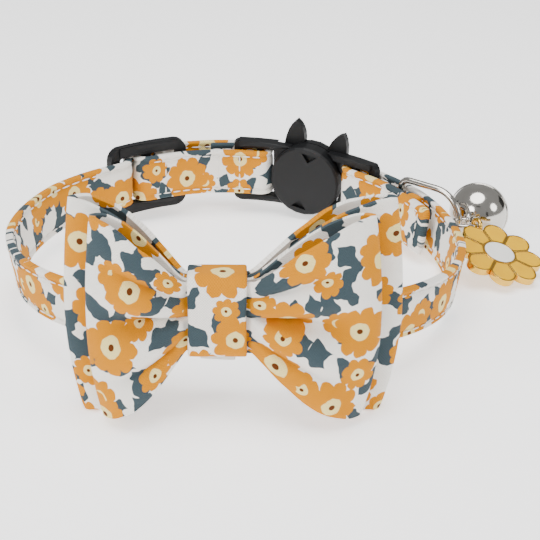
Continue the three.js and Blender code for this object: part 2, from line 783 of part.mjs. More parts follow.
// One loop of the bow: a flat face against its neighbour and a full face away from it
function bowLayer(left, right, half_height, depth, side) {
  const knot_half = knot_width / 2 + seat_gap;
  const pinch = knot_height / 2 - knot_wall - seat_gap * 1.5;
  const segments = 40;
  const knot_share = Math.sin((2 * Math.PI) / segments);
  const flat = seat_gap / 2 + bow_wall / 2;
  const rows = [-1, -0.72, -0.4, -0.16, 0, 0.16, 0.4, 0.72, 1];
  const surface = (turn, v) => {
    const reach = Math.cos(turn) > 0 ? right : left;
    const way_out = Math.abs(Math.cos(turn));
    const share = Math.max(0, (way_out - knot_share) / (1 - knot_share));
    const from_knot = knot_half * Math.min(1, way_out / knot_share) + (reach - knot_half) * share;
    const x = from_knot * Math.sign(Math.cos(turn));
    const tall = THREE.MathUtils.lerp(pinch, half_height, fromRows(wing_rows, share, 'height'));
    const round = Math.sqrt(Math.max(0, 1 - share ** 10));
    const fade = 1 - THREE.MathUtils.smoothstep(share, crease_reach * 0.35, crease_reach * 1.2);
    const crease = 1 - crease_depth * fade * Math.exp(-((v / crease_half) ** 2));
    const lobe = 1 - lobe_droop * v ** 4;
    const full = depth * fromRows(wing_rows, share, 'depth') * crease * lobe + bow_wall + fold_gap;
    const end_middle = flat + full / 2;
    const swing = (full / 2) * Math.sign(Math.sin(turn)) * (Math.abs(Math.sin(turn)) < 1e-6 ? 0 : round);
    const pulled = x * (1 - (v > 0 ? upper_pull : lower_pull) * v * v * share);
    return new THREE.Vector3(pulled, side * (end_middle + swing), v * tall);
  };
  const profile = rows.map((v) => new THREE.Vector2(3, v));
  for (const v of [...rows].reverse()) profile.push(new THREE.Vector2(2, v));
  profile.push(profile[0].clone());
  const geometry = new THREE.LatheGeometry(profile, segments);
  const small = 0.02;
  return solid(reshape(geometry, (corner) => {
    const turn = Math.atan2(corner.x, corner.z);
    const away = Math.hypot(corner.x, corner.z) > 2.5 ? 0.5 : -0.5;
    const point = surface(turn, corner.y);
    const way = surface(turn + small, corner.y).sub(surface(turn - small, corner.y));
    way.z = 0;
    way.normalize();
    point.x += side * way.y * bow_wall * away;
    point.y -= side * way.x * bow_wall * away;
    return bowToTable(point);
  }));
}

function bowToTable(point) {
  return onTable(new THREE.Vector3(point.x + bow_side_shift, point.y + bow_middle_y, point.z + bow_middle_z));
}

// Presses flat what would reach below the table
function pressed(body) {
  const reach = loop_half_width * 4;
  const table = new THREE.BoxGeometry(reach, reach, reach);
  table.translate(0, 0, -reach / 2);
  return body.subtract(solid(table));
}

// Rounded rectangle about the origin, as a ring with a hole
function ringShape(half_x, half_y, wall, corner) {
  const shape = new THREE.Shape(roundedCorners(-half_x, half_x, -half_y, half_y, corner));
  const inner = Math.max(corner - wall, 0.4);
  shape.holes.push(new THREE.Path(roundedCorners(-half_x + wall, half_x - wall, -half_y + wall, half_y - wall, inner)));
  return shape;
}

function bowKnot() {
  const shape = ringShape(knot_half_depth, knot_height / 2, knot_wall, knot_corner);
  const geometry = new THREE.ExtrudeGeometry(shape, { depth: knot_width, steps: 2, bevelEnabled: false });
  return solid(reshape(geometry, (corner) => {
    return bowToTable(new THREE.Vector3(corner.z - knot_width / 2, corner.x, corner.y));
  }));
}

function elasticLoop() {
  const half_out = strap_thickness / 2 + seat_gap + elastic_thickness;
  const shape = ringShape(half_out, elastic_half, elastic_thickness, 1);
  const geometry = new THREE.ExtrudeGeometry(shape, { depth: 2, steps: 2, bevelEnabled: false });
  return solid(reshape(geometry, (corner) => {
    const distance = -head_length + bow_side_shift + (corner.z - 1) * (elastic_width / 2);
    return onTable(onLoop(distance, corner.x, corner.y));
  }));
}

// Finishes
const cotton = { color: 0xe9dccb, roughness: 0.9, metalness: 0 };
const black_plastic = { color: 0x26272a, roughness: 0.5, metalness: 0 };
const nickel = { color: 0xc9c6c0, roughness: 0.18, metalness: 1 };
const gilt = { color: 0xe2bf4a, roughness: 0.25, metalness: 1 };
const elastic = { color: 0xe8e4dc, roughness: 0.85, metalness: 0 };

const collar = new THREE.Group();
function addPiece(name, body, finish) {
  const mesh_data = body.getMesh();
  const geometry = new THREE.BufferGeometry();
  geometry.setAttribute('position', new THREE.BufferAttribute(Float32Array.from(mesh_data.vertProperties), 3));
  geometry.setIndex(new THREE.BufferAttribute(Uint32Array.from(mesh_data.triVerts), 1));
  geometry.computeVertexNormals();
  const piece = new THREE.Mesh(geometry, new THREE.MeshStandardMaterial(finish));
  piece.name = name;
  collar.add(piece);
}

addPiece('strap_long', longStrap(), cotton);
addPiece('strap_short', shortStrap(), cotton);
addPiece('slider', slider(), black_plastic);
addPiece('buckle_left', buckleLeft(), black_plastic);
addPiece('buckle_right', buckleRight(), black_plastic);
addPiece('bow_front', pressed(bowLayer(front_left, front_right, front_half_height, front_depth, -1)), cotton);
addPiece('bow_back', pressed(bowLayer(back_left, back_right, back_half_height, back_depth, 1)), cotton);
addPiece('bow_knot', bowKnot(), cotton);
addPiece('elastic_loop', elasticLoop(), elastic);
addPiece('d_ring', dRing(), nickel);
addPiece('jump_ring', jumpRing(), nickel);
addPiece('bell', bell(), nickel);
addPiece('charm', charm(), gilt);

// The origin is on the table, under the middle of the whole collar
const box = new THREE.Box3().setFromObject(collar);
const middle = box.getCenter(new THREE.Vector3());
collar.position.set(-middle.x, -middle.y, -box.min.z);
collar.updateMatrixWorld(true);

export default collar;
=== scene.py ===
# %% [markdown]
# # A cat's bow tie collar
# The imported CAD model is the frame: its solids say where every piece is. This lesson dresses it. The cloth,
# the thread and the metal are made anew, finer than the solids; the plastic is the solids' own shape with
# softened edges. Everything is in metres, with the bow in front at -Y.

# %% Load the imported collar
import bpy
import bmesh
import math
from mathutils import Matrix, Vector, noise


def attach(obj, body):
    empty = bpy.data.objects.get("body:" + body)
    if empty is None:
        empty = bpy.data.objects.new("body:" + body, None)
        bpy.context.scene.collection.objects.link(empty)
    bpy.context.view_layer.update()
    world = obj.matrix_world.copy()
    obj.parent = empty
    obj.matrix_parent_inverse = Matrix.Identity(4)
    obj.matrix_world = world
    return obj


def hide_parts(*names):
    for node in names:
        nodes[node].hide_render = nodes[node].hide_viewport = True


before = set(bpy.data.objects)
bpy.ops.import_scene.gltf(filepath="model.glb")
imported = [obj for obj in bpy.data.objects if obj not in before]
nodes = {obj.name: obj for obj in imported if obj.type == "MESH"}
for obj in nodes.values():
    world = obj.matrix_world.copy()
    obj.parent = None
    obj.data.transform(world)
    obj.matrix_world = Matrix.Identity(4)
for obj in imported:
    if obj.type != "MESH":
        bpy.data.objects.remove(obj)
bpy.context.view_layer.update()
print("nodes:", sorted(nodes))

# %% [markdown]
# ## Where a point of the strap is
# A collar is a flat strap bent into a loop, so its pieces are easiest to describe on the strap: so far along
# it from the buckle, so far out from its middle line, and so far up its width. `on_strap` turns those three
# numbers, in millimetres, into a place on the table. The loop is an oval that sags at its sides, its top
# edge leans outward a little, and the whole loop leans back from the bow's corners to the buckle.

# %% The loop's own numbers
MM = 0.001
STRAP_WIDTH = 10.0
STRAP_THICK = 1.6
LOOP_HALF_X = 43.2
LOOP_HALF_Y = 44.9
LOOP_SAG = 1.8
RIGHT_DROP = 1.3
HEAD_AT = 68.0  # degrees round the loop to the buckle's head
FLARES = [(0, 12), (41, 6), (68, -4), (115, -2), (180, 12), (270, 5), (360, 12)]
LEAN = 0.0
LOOP_RISE = 0.0
SHIFT = Vector((-8.6227, 4.6161, 0.0477))


def between(rows, at, column=1):
    """Read a short table, straight between its rows."""
    at = min(max(at, rows[0][0]), rows[-1][0])
    for low, high in zip(rows, rows[1:]):
        if at <= high[0]:
            share = (at - low[0]) / (high[0] - low[0])
            return low[column] + (high[column] - low[column]) * share
    return rows[-1][column]


def oval(turn):
    return Vector((LOOP_HALF_X * math.cos(turn), LOOP_HALF_Y * math.sin(turn)))


OVAL_STEPS = 720
oval_turns = [-math.pi / 2 + 2 * math.pi * i / OVAL_STEPS for i in range(OVAL_STEPS + 1)]
oval_lengths = [0.0]
for before, after in zip(oval_turns, oval_turns[1:]):
    oval_lengths.append(oval_lengths[-1] + (oval(after) - oval(before)).length)
LOOP_LENGTH = oval_lengths[-1]
HEAD_LENGTH = oval_lengths[round((HEAD_AT + 90) / 360 * OVAL_STEPS)]
print("the loop is", round(LOOP_LENGTH, 1), "mm round")


# %% From the strap to the table
def strap_axes(distance):
    """The middle line's point, and the directions along, out of and up the strap."""
    place = (HEAD_LENGTH + distance) % LOOP_LENGTH
    low, high = 0, OVAL_STEPS
    while high - low > 1:
        middle = (low + high) // 2
        low, high = (middle, high) if oval_lengths[middle] <= place else (low, middle)
    share = (place - oval_lengths[low]) / (oval_lengths[high] - oval_lengths[low])
    turn = -math.pi / 2 + 2 * math.pi * (low + share) / OVAL_STEPS
    plan = oval(turn)
    along = Vector((-LOOP_HALF_X * math.sin(turn), LOOP_HALF_Y * math.cos(turn), 0)).normalized()
    outward = Vector((along.y, -along.x, 0))
    flare = math.radians(between(FLARES, math.degrees(turn) % 360))
    up = Vector((0, 0, math.cos(flare))) + outward * math.sin(flare)
    out = outward * math.cos(flare) - Vector((0, 0, math.sin(flare)))
    lift = -RIGHT_DROP * math.cos(turn) - LOOP_SAG * math.cos(2 * turn)
    return Vector((plan.x, plan.y, lift)), along, out, up


def in_loop(distance, out_by, up_by):
    at, _, out, up = strap_axes(distance)
    return at + out * out_by + up * up_by


def on_table(point):
    y = point.y * math.cos(LEAN) + point.z * math.sin(LEAN)
    z = point.z * math.cos(LEAN) - point.y * math.sin(LEAN) + LOOP_RISE
    return (Vector((point.x, y, z)) + SHIFT) * MM


def on_strap(distance, out_by, up_by):
    return on_table(in_loop(distance, out_by, up_by))


# %% [markdown]
# ## How the loop leans
# The bow's lower corners and the buckle's chin are what the collar stands on. Their heights in the loop's own
# plane give the lean, in the same way as the solids were set on the table.

# %% Work out the lean
SEAT_GAP = 0.3
BOW_WALL = 1.1
FOLD_GAP = 0.2
ELASTIC_THICK = 0.8
KNOT_WALL = 1.2
BOW_SIDE = -3.1
BOW_RISE = 5.7
HEAD_RADIUS = 7.9
HEAD_PLATE = 3.4
CHIN_ROOM = 1.1
BACK_HALF_HEIGHT = 19.1
BACK_DEPTH = 5.2
REST_FLAT = 0.45
front_strap = in_loop(-HEAD_LENGTH, 0, 0)
elastic_half = STRAP_WIDTH / 2 + SEAT_GAP + ELASTIC_THICK
front_lean = elastic_half * math.sin(math.radians(between(FLARES, 270)))
knot_half_depth = SEAT_GAP / 2 + BOW_WALL * 2 + FOLD_GAP + SEAT_GAP + KNOT_WALL
strap_to_knot = STRAP_THICK / 2 + SEAT_GAP + ELASTIC_THICK + SEAT_GAP
bow_y = front_strap.y - strap_to_knot - front_lean - knot_half_depth
bow_z = front_strap.z + BOW_RISE
chin = in_loop(0, -(SEAT_GAP / 2 + HEAD_PLATE), -HEAD_RADIUS - CHIN_ROOM)
tip_y = bow_y + SEAT_GAP / 2 + BOW_WALL + BACK_DEPTH / 2
tip_z = bow_z - BACK_HALF_HEIGHT + REST_FLAT
LEAN = math.atan2(chin.z - tip_z, chin.y - tip_y)
LOOP_RISE = chin.y * math.sin(LEAN) - chin.z * math.cos(LEAN)
print("lean", round(math.degrees(LEAN), 2), "degrees, rise", round(LOOP_RISE, 2), "mm")
strap_front = on_strap(-HEAD_LENGTH, 0, 0)
print("front of the strap:", [round(c * 1000, 1) for c in strap_front])

# %% [markdown]
# ## The camera and the light
# A product photo of a small thing is taken with a long lens, so near and far parts keep almost the same
# size. The camera looks down at the bow at a low angle. The light is a white tent: a big soft lamp above,
# one at each side, and a pale floor that throws light back up under the cloth.

# %% Camera at the photo's angle
VIEW_DOWN = math.radians(20.4) + LEAN
VIEW_FAR = 0.3135
aim = on_table(Vector((0, -2.4, 0)))
camera_data = bpy.data.cameras.new("camera")
camera_data.sensor_width = 36
camera_data.lens = 36 * 1600 / 540
camera_data.shift_x = 0.0628
camera_data.shift_y = -0.0387
camera_data.clip_start = 0.01
camera = bpy.data.objects.new("camera", camera_data)
camera.location = aim + Vector((0, -math.cos(VIEW_DOWN), math.sin(VIEW_DOWN))) * VIEW_FAR
camera.rotation_euler = (math.pi / 2 - VIEW_DOWN, 0, 0)
bpy.context.scene.collection.objects.link(camera)
bpy.context.scene.camera = camera
print("camera", [round(c, 4) for c in camera.location])


# %% Soft lamps and a pale surround
def soft_lamp(name, place, towards, size, power):
    data = bpy.data.lights.new(name, "AREA")
    data.shape = "DISK"
    data.size = size
    data.energy = power
    lamp = bpy.data.objects.new(name, data)
    lamp.location = place
    lamp.rotation_euler = (Vector(towards) - Vector(place)).to_track_quat("-Z", "Y").to_euler()
    bpy.context.scene.collection.objects.link(lamp)


soft_lamp("lamp_top", (-0.05, -0.08, 0.55), (0, 0, 0.01), 0.5, 3.9)
soft_lamp("lamp_front_left", (-0.45, -0.5, 0.35), (0, -0.02, 0.01), 0.35, 3.0)
soft_lamp("lamp_right", (0.55, -0.25, 0.3), (0.02, 0, 0.01), 0.3, 1.2)
world = bpy.data.worlds.new("white_tent")
world.use_nodes = True
world.node_tree.nodes["Background"].inputs["Color"].default_value = (1.0, 1.0, 1.0, 1)
world.node_tree.nodes["Background"].inputs["Strength"].default_value = 0.42
bpy.context.scene.world = world


# %% [markdown]
# ## A small language for materials
# A printed pattern is a sum of many small steps, such as a distance, an angle or a comparison. Wiring each
# by hand would bury the idea, so `Wires` makes one node per step and hands back its socket.

# %% Wires
class Wires:
    def __init__(self, name):
        self.material = bpy.data.materials.new(name)
        self.material.use_nodes = True
        self.tree = self.material.node_tree
        self.shader = self.tree.nodes["Principled BSDF"]

    def node(self, kind, **settings):
        made = self.tree.nodes.new(kind)
        for key, value in settings.items():
            setattr(made, key, value)
        return made

    def feed(self, socket, value):
        if isinstance(value, bpy.types.NodeSocket):
            self.tree.links.new(value, socket)
        else:
            socket.default_value = value

    def math(self, operation, *values):
        made = self.node("ShaderNodeMath", operation=operation)
        for socket, value in zip(made.inputs, values):
            self.feed(socket, value)
        return made.outputs[0]

    def vector(self, operation, *values):
        made = self.node("ShaderNodeVectorMath", operation=operation)
        for socket, value in zip(made.inputs, values):
            self.feed(socket, value)
        return made.outputs[0]

    def parts(self, vector):
        made = self.node("ShaderNodeSeparateXYZ")
        self.feed(made.inputs[0], vector)
        return made.outputs[0], made.outputs[1]

    def steps(self, value, low, high, to_low=0.0, to_high=1.0):
        """Runs smoothly from to_low to to_high while value runs from low to high."""
        made = self.node("ShaderNodeMapRange", interpolation_type="SMOOTHSTEP")
        for socket, number in zip(made.inputs, (value, low, high, to_low, to_high)):
            self.feed(socket, number)
        return made.outputs[0]

    def mix(self, share, first, second):
        made = self.node("ShaderNodeMix", data_type="RGBA")
        self.feed(made.inputs["Factor"], share)
        self.feed(made.inputs["A"], first)
        self.feed(made.inputs["B"], second)
        return made.outputs["Result"]

    def noise(self, vector, scale, detail=2.0):
        made = self.node("ShaderNodeTexNoise")
        self.feed(made.inputs["Vector"], vector)
        made.inputs["Scale"].default_value = scale
        made.inputs["Detail"].default_value = detail
        return made.outputs["Fac"]

    def bump(self, height, depth, strength=1.0):
        made = self.node("ShaderNodeBump")
        made.inputs["Distance"].default_value = depth
        made.inputs["Strength"].default_value = strength
        self.feed(made.inputs["Height"], height)
        self.feed(self.shader.inputs["Normal"], made.outputs[0])


def rgb(hex_code):
    """A screen colour such as 'e69a1f' as the linear numbers that a shader takes."""
    values = [int(hex_code[i:i + 2], 16) / 255 for i in (0, 2, 4)]
    return tuple(v / 12.92 if v <= 0.04045 else ((v + 0.055) / 1.055) ** 2.4 for v in values) + (1.0,)


# %% [markdown]
# ## The printed cotton
# The cloth is a plain-weave cotton with scalloped mustard flowers and slate leaves, scattered as on any
# flower print. An image could hold it, but nodes keep it sharp at any size. The cloth's own UV map, in
# metres, carries it, so that it bends with the cloth. Each motif lives in a square cell: the cell's number
# gives it a random size, turn and place inside the cell, so that none is cut off. Layers with cells of other
# sizes and angles are laid over each other, so that the cells don't show.

# %% One layer of motifs
def motif_cells(w, cloth, cell, angle, seed, biggest):
    """Each point's x and y from its motif's middle, in mm, and the motif's two random numbers."""
    turned = w.node("ShaderNodeMapping")
    w.feed(turned.inputs["Vector"], cloth)
    turned.inputs["Location"].default_value = (seed * 3.71, seed * 7.13, 0)
    turned.inputs["Rotation"].default_value = (0, 0, angle)
    turned.inputs["Scale"].default_value = (1 / cell, 1 / cell, 1)
    number = w.vector("FLOOR", turned.outputs[0])
    inside = w.vector("SUBTRACT", w.vector("SUBTRACT", turned.outputs[0], number), (0.5, 0.5, 0.5))
    chance = w.node("ShaderNodeTexWhiteNoise", noise_dimensions="3D")
    w.feed(chance.inputs["Vector"], w.vector("ADD", number, (seed, seed * 1.7, seed * 0.3)))
    room = max(0.0, 1 - 2 * biggest / cell)
    offset = w.vector("SUBTRACT", chance.outputs["Color"], (0.5, 0.5, 0.5))
    jump = w.vector("MULTIPLY", offset, (room, room, 0))
    x, y = w.parts(w.vector("SUBTRACT", inside, jump))
    luck = w.node("ShaderNodeTexWhiteNoise", noise_dimensions="3D")
    w.feed(luck.inputs["Vector"], w.vector("ADD", number, (seed + 31.0, seed * 2.3, 9.0)))
    x, y = w.math("MULTIPLY", x, cell), w.math("MULTIPLY", y, cell)
    return x, y, luck.outputs["Value"], chance.outputs["Value"]


def flower_masks(w, cloth, wobble, cell, angle, seed, small, large, petals):
    """Masks of a layer of flowers: the petals, the pale middle and the dark dot."""
    x, y, luck, turn = motif_cells(w, cloth, cell, angle, seed, large * 1.08)
    far = w.math("SQRT", w.math("ADD", w.math("MULTIPLY", x, x), w.math("MULTIPLY", y, y)))
    bearing = w.math("ADD", w.math("ARCTAN2", y, x), w.math("MULTIPLY", turn, 6.283))
    radius = w.math("ADD", w.math("MULTIPLY", luck, large - small), small)
    lobes = w.math("ABSOLUTE", w.math("COSINE", w.math("MULTIPLY", bearing, petals / 2)))
    edge = w.math("ADD", w.math("MULTIPLY", w.math("POWER", lobes, 0.6), 0.25), 0.77)
    edge = w.math("ADD", edge, w.math("MULTIPLY", w.math("SUBTRACT", wobble, 0.5), 0.2))
    share = w.math("DIVIDE", far, radius)
    shape = w.steps(w.math("SUBTRACT", share, edge), -0.012, 0.012, 1, 0)
    uneven = w.math("MULTIPLY", w.math("SUBTRACT", wobble, 0.5), 0.16)
    heart = w.steps(w.math("ADD", share, uneven), 0.36, 0.39, 1, 0)
    dot = w.steps(share, 0.105, 0.125, 1, 0)
    return shape, heart, dot


def leaf_mask(w, cloth, wobble, cell, angle, seed, long):
    """A layer of leaves: an almond with one or two side lobes."""
    x, y, luck, turn = motif_cells(w, cloth, cell, angle, seed, long * 1.15)
    way = w.math("MULTIPLY", turn, 6.283)
    cosine, sine = w.math("COSINE", way), w.math("SINE", way)
    along = w.math("ADD", w.math("MULTIPLY", x, cosine), w.math("MULTIPLY", y, sine))
    across = w.math("SUBTRACT", w.math("MULTIPLY", y, cosine), w.math("MULTIPLY", x, sine))
    across = w.math("ADD", across, w.math("MULTIPLY", w.math("SUBTRACT", wobble, 0.5), long * 0.3))
    share = w.math("DIVIDE", along, long)
    belly = w.math("SUBTRACT", 1.0, w.math("MULTIPLY", share, share))
    lobes = w.math("MULTIPLY", w.math("SINE", w.math("MULTIPLY", share, 5.2)), w.math("MULTIPLY", luck, 0.3))
    plump = w.math("ADD", w.math("MULTIPLY", belly, 0.46), w.math("MULTIPLY", lobes, belly))
    half = w.math("MULTIPLY", plump, long)
    return w.steps(w.math("SUBTRACT", w.math("ABSOLUTE", across), half), -0.05, 0.05, 1, 0)


# %% The cotton material
LEAVES = ((9.0, 0.5, 3.0, 3.3), (7.6, -0.7, 8.0, 2.5), (9.4, 1.2, 21.0, 3.4))  # cell, angle, seed, length
FLOWERS = ((10.2, -0.35, 13.0, 2.3, 3.5, 8), (12.6, 0.25, 5.0, 3.8, 5.0, 9))  # and smallest, largest, petals
THREAD_PITCH = 0.46


def printed_cotton(name, start, turn=0.0):
    w = Wires(name)
    uv = w.node("ShaderNodeUVMap", uv_map="cloth")
    cloth = w.node("ShaderNodeMapping")
    w.feed(cloth.inputs["Vector"], uv.outputs[0])
    cloth.inputs["Location"].default_value = (start[0], start[1], 0)
    cloth.inputs["Rotation"].default_value = (0, 0, turn)
    cloth.inputs["Scale"].default_value = (1000, 1000, 1)  # metres to millimetres
    cloth = cloth.outputs[0]
    wobble = w.noise(cloth, 0.75, 1.0)
    colour = rgb("f6f2ea")
    for layer in LEAVES:
        colour = w.mix(leaf_mask(w, cloth, wobble, *layer), colour, rgb("3c4a50"))
    for layer in FLOWERS:
        shape, heart, dot = flower_masks(w, cloth, wobble, *layer)
        colour = w.mix(shape, colour, rgb("cf8402"))
        colour = w.mix(w.math("MULTIPLY", heart, shape), colour, rgb("f0dc94"))
        colour = w.mix(w.math("MULTIPLY", dot, shape), colour, rgb("5f300f"))
    across, up = w.parts(cloth)
    warp = w.math("SINE", w.math("MULTIPLY", across, 2 * math.pi / THREAD_PITCH))
    weft = w.math("SINE", w.math("MULTIPLY", up, 2 * math.pi / THREAD_PITCH))
    weave = w.math("MULTIPLY", warp, weft)
    thread = w.noise(cloth, 4.0, 3.0)
    fuzz = w.math("MULTIPLY", w.math("SUBTRACT", thread, 0.5), 0.34)
    shade = w.math("ADD", w.math("MULTIPLY", weave, 0.13), fuzz)
    tone = w.node("ShaderNodeHueSaturation")
    w.feed(tone.inputs["Color"], colour)
    w.feed(tone.inputs["Value"], w.math("ADD", shade, 0.97))
    w.feed(w.shader.inputs["Base Color"], tone.outputs[0])
    w.feed(w.shader.inputs["Roughness"], w.math("ADD", w.math("MULTIPLY", thread, 0.2), 0.74))
    w.shader.inputs["Sheen Weight"].default_value = 0.06
    w.shader.inputs["Sheen Roughness"].default_value = 0.45
    w.shader.inputs["Specular IOR Level"].default_value = 0.1
    w.bump(w.math("ADD", w.math("MULTIPLY", weave, 0.5), thread), 0.00009, 0.75)
    return w.material


# %% [markdown]
# ## The other finishes
# Matte moulded plastic has a fine spark-eroded grain and edges that shine a little. Nickel and gilt plate are
# bright metals with faint polishing marks. Sewing thread and elastic are fibres: a fine twist in the bump.

# %% Plastic, metals, thread and elastic
def place_of(w):
    return w.node("ShaderNodeTexCoord").outputs["Object"]


def moulded_plastic(name):
    w = Wires(name)
    grain = w.noise(place_of(w), 5200, 2.0)
    cloud = w.noise(place_of(w), 190, 3.0)
    w.feed(w.shader.inputs["Base Color"], w.mix(cloud, rgb("0c0d0e"), rgb("17181a")))
    w.feed(w.shader.inputs["Roughness"], w.math("ADD", w.math("MULTIPLY", cloud, 0.16), 0.42))
    w.shader.inputs["Specular IOR Level"].default_value = 0.25
    w.bump(grain, 0.00004, 0.45)
    return w.material


def bright_metal(name, light, dark, rough):
    w = Wires(name)
    cloud = w.noise(place_of(w), 260, 3.0)
    marks = w.noise(place_of(w), 2600, 2.0)
    w.feed(w.shader.inputs["Base Color"], w.mix(cloud, rgb(light), rgb(dark)))
    w.shader.inputs["Metallic"].default_value = 1.0
    w.feed(w.shader.inputs["Roughness"], w.math("ADD", w.math("MULTIPLY", marks, 0.1), rough))
    w.bump(marks, 0.00001, 0.3)
    return w.material


def fibre(name, light, dark, pitch):
    w = Wires(name)
    place = place_of(w)
    fuzz = w.noise(place, pitch, 3.0)
    w.feed(w.shader.inputs["Base Color"], w.mix(fuzz, rgb(light), rgb(dark)))
    w.shader.inputs["Roughness"].default_value = 0.8
    w.shader.inputs["Sheen Weight"].default_value = 0.2
    w.bump(fuzz, 0.00008, 0.8)
    return w.material


def enamel(name, light, dark):
    w = Wires(name)
    cloud = w.noise(place_of(w), 420, 2.0)
    w.feed(w.shader.inputs["Base Color"], w.mix(cloud, rgb(light), rgb(dark)))
    w.feed(w.shader.inputs["Roughness"], w.math("ADD", w.math("MULTIPLY", cloud, 0.08), 0.14))
    w.shader.inputs["Specular IOR Level"].default_value = 0.22
    w.shader.inputs["Coat Weight"].default_value = 0.12
    w.bump(cloud, 0.00006, 0.35)
    return w.material


plastic = moulded_plastic("moulded_plastic")
nickel = bright_metal("nickel_plate", "cfccc6", "b3afa8", 0.07)
gilt = bright_metal("gilt_plate", "e6bd58", "d3a23a", 0.14)
thread_white = fibre("white_thread", "f7f5f0", "dedad2", 2600)
elastic_weave = fibre("woven_elastic", "efece5", "d8d4ca", 1800)
enamel_yellow = enamel("enamel_yellow", "efbb00", "e4aa00")
enamel_white = enamel("enamel_white", "fbfaf4", "efeee6")
strap_cotton = printed_cotton("cotton_strap", (4.0, 2.0))
print("materials:", len(bpy.data.materials))


# %% [markdown]
# ## Cloth from a grid
# All cloth here starts as a flat rectangle, as the maker cuts it. `create_grid` makes that rectangle, its
# points are then carried to where the cloth goes, and a Solidify modifier gives it the thickness of the
# folded cotton. The flat rectangle's own measures are kept as the UV map `cloth`.

# %% Make, finish and place
def put_in_scene(name, bm, material, *stands_for, slot=None):
    mesh = bpy.data.meshes.new(name)
    bm.to_mesh(mesh)
    bm.free()
    for polygon in mesh.polygons:
        polygon.use_smooth = True
    mesh.materials.append(material)
    piece = bpy.data.objects.new(name, mesh)
    bpy.context.scene.collection.objects.link(piece)
    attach(piece, "root")
    if stands_for:
        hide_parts(*stands_for)
    print(name, len(mesh.polygons), "faces")
    return piece


def cloth_grid(along, across, place, flat, fullness=None):
    """A grid of along x across faces; place, flat and fullness get shares u and v from 0 to 1."""
    bm = bmesh.new()
    weights = bm.verts.layers.deform.verify() if fullness else None
    uv = bm.loops.layers.uv.new("cloth")
    bmesh.ops.create_grid(bm, x_segments=along, y_segments=across, size=0.5)
    for face in bm.faces:
        for loop in face.loops:
            loop[uv].uv = flat(loop.vert.co.x + 0.5, loop.vert.co.y + 0.5)
    for vert in bm.verts:
        u, v = vert.co.x + 0.5, vert.co.y + 0.5
        if fullness:
            vert[weights][0] = fullness(u, v)
        vert.co = place(u, v)
    bmesh.ops.remove_doubles(bm, verts=bm.verts, dist=1e-7)
    bmesh.ops.recalc_face_normals(bm, faces=bm.faces)
    return bm


def thicken(piece, thick, round_edge, group=None):
    wall = piece.modifiers.new("wall", "SOLIDIFY")
    wall.thickness = thick * MM
    wall.offset = 0
    if group:
        wall.vertex_group = group
        wall.thickness_vertex_group = 0.5
    soft = piece.modifiers.new("soft_edge", "BEVEL")
    soft.width = round_edge * MM
    soft.segments = 3
    soft.limit_method = "ANGLE"
    soft.angle_limit = math.radians(55)


# %% [markdown]
# ## The strap
# The strap is one long cut of cotton, folded to 10 mm and sewn along both edges. It starts at a sewn end
# behind the D-ring, turns round the buckle's bar, goes round the neck, dives through the slider and ends in a
# folded hem. The route is drawn once, along the strap and out from its middle line, then sampled finely. The
# rows of stitches pull the cloth in, so the wall is thinner along them.

# %% The strap's route
BAR_HALF = 0.9
WRAP_SLACK = 0.25
LAYER = BAR_HALF + SEAT_GAP + WRAP_SLACK + STRAP_THICK / 2  # from a bar's middle to a turned layer's
TAIL_LAYER = LAYER + STRAP_THICK + SEAT_GAP
WEB_BAR = 11.4
RING_BAR = 23.8
RING_WIRE = 0.7
SLIDER_AT = 37.3
SLIDER_LEFT = SLIDER_AT + 18.4 / 2
SLIDER_BAR = 2.3
CENTRE_BAR = 1.6
PILLOW_START = -(RING_BAR + RING_WIRE + SEAT_GAP + STRAP_THICK)
TAIL_END = 13.0
WRAP_REACH = CENTRE_BAR / 2 + SEAT_GAP + WRAP_SLACK + STRAP_THICK
DIVE = SLIDER_AT + WRAP_REACH + SEAT_GAP * 2 + STRAP_THICK * 0.58


def arc(middle, half_along, half_out, start, end, steps=16):
    turns = [math.radians(start + (end - start) * i / steps) for i in range(steps + 1)]
    return [Vector((middle + half_along * math.cos(turn), half_out * math.sin(turn))) for turn in turns]


def through(points, steps=10):
    """A smooth curve through its points."""
    points = [Vector(p) for p in points]
    made = []
    for i in range(len(points) - 1):
        p0, p1 = points[max(i - 1, 0)], points[i]
        p2, p3 = points[i + 1], points[min(i + 2, len(points) - 1)]
        for k in range(steps):
            t = k / steps
            a, b = (p2 - p0) * 0.5, (p3 - p1) * 0.5
            made.append((2 * t ** 3 - 3 * t * t + 1) * p1 + (t ** 3 - 2 * t * t + t) * a
                        + (3 * t * t - 2 * t ** 3) * p2 + (t ** 3 - t * t) * b)
    made.append(points[-1])
    return made


def even(points, step):
    """The same line in even steps, with the running length of each point."""
    lengths = [0.0]
    for a, b in zip(points, points[1:]):
        lengths.append(lengths[-1] + (b - a).length)
    count = round(lengths[-1] / step)
    made, at = [], 0
    for i in range(count + 1):
        want = lengths[-1] * i / count
        while at < len(points) - 2 and lengths[at + 1] < want:
            at += 1
        share = (want - lengths[at]) / max(lengths[at + 1] - lengths[at], 1e-9)
        made.append(points[at].lerp(points[at + 1], min(share, 1)))
    return made, lengths[-1]


def far(distance):
    return distance - LOOP_LENGTH


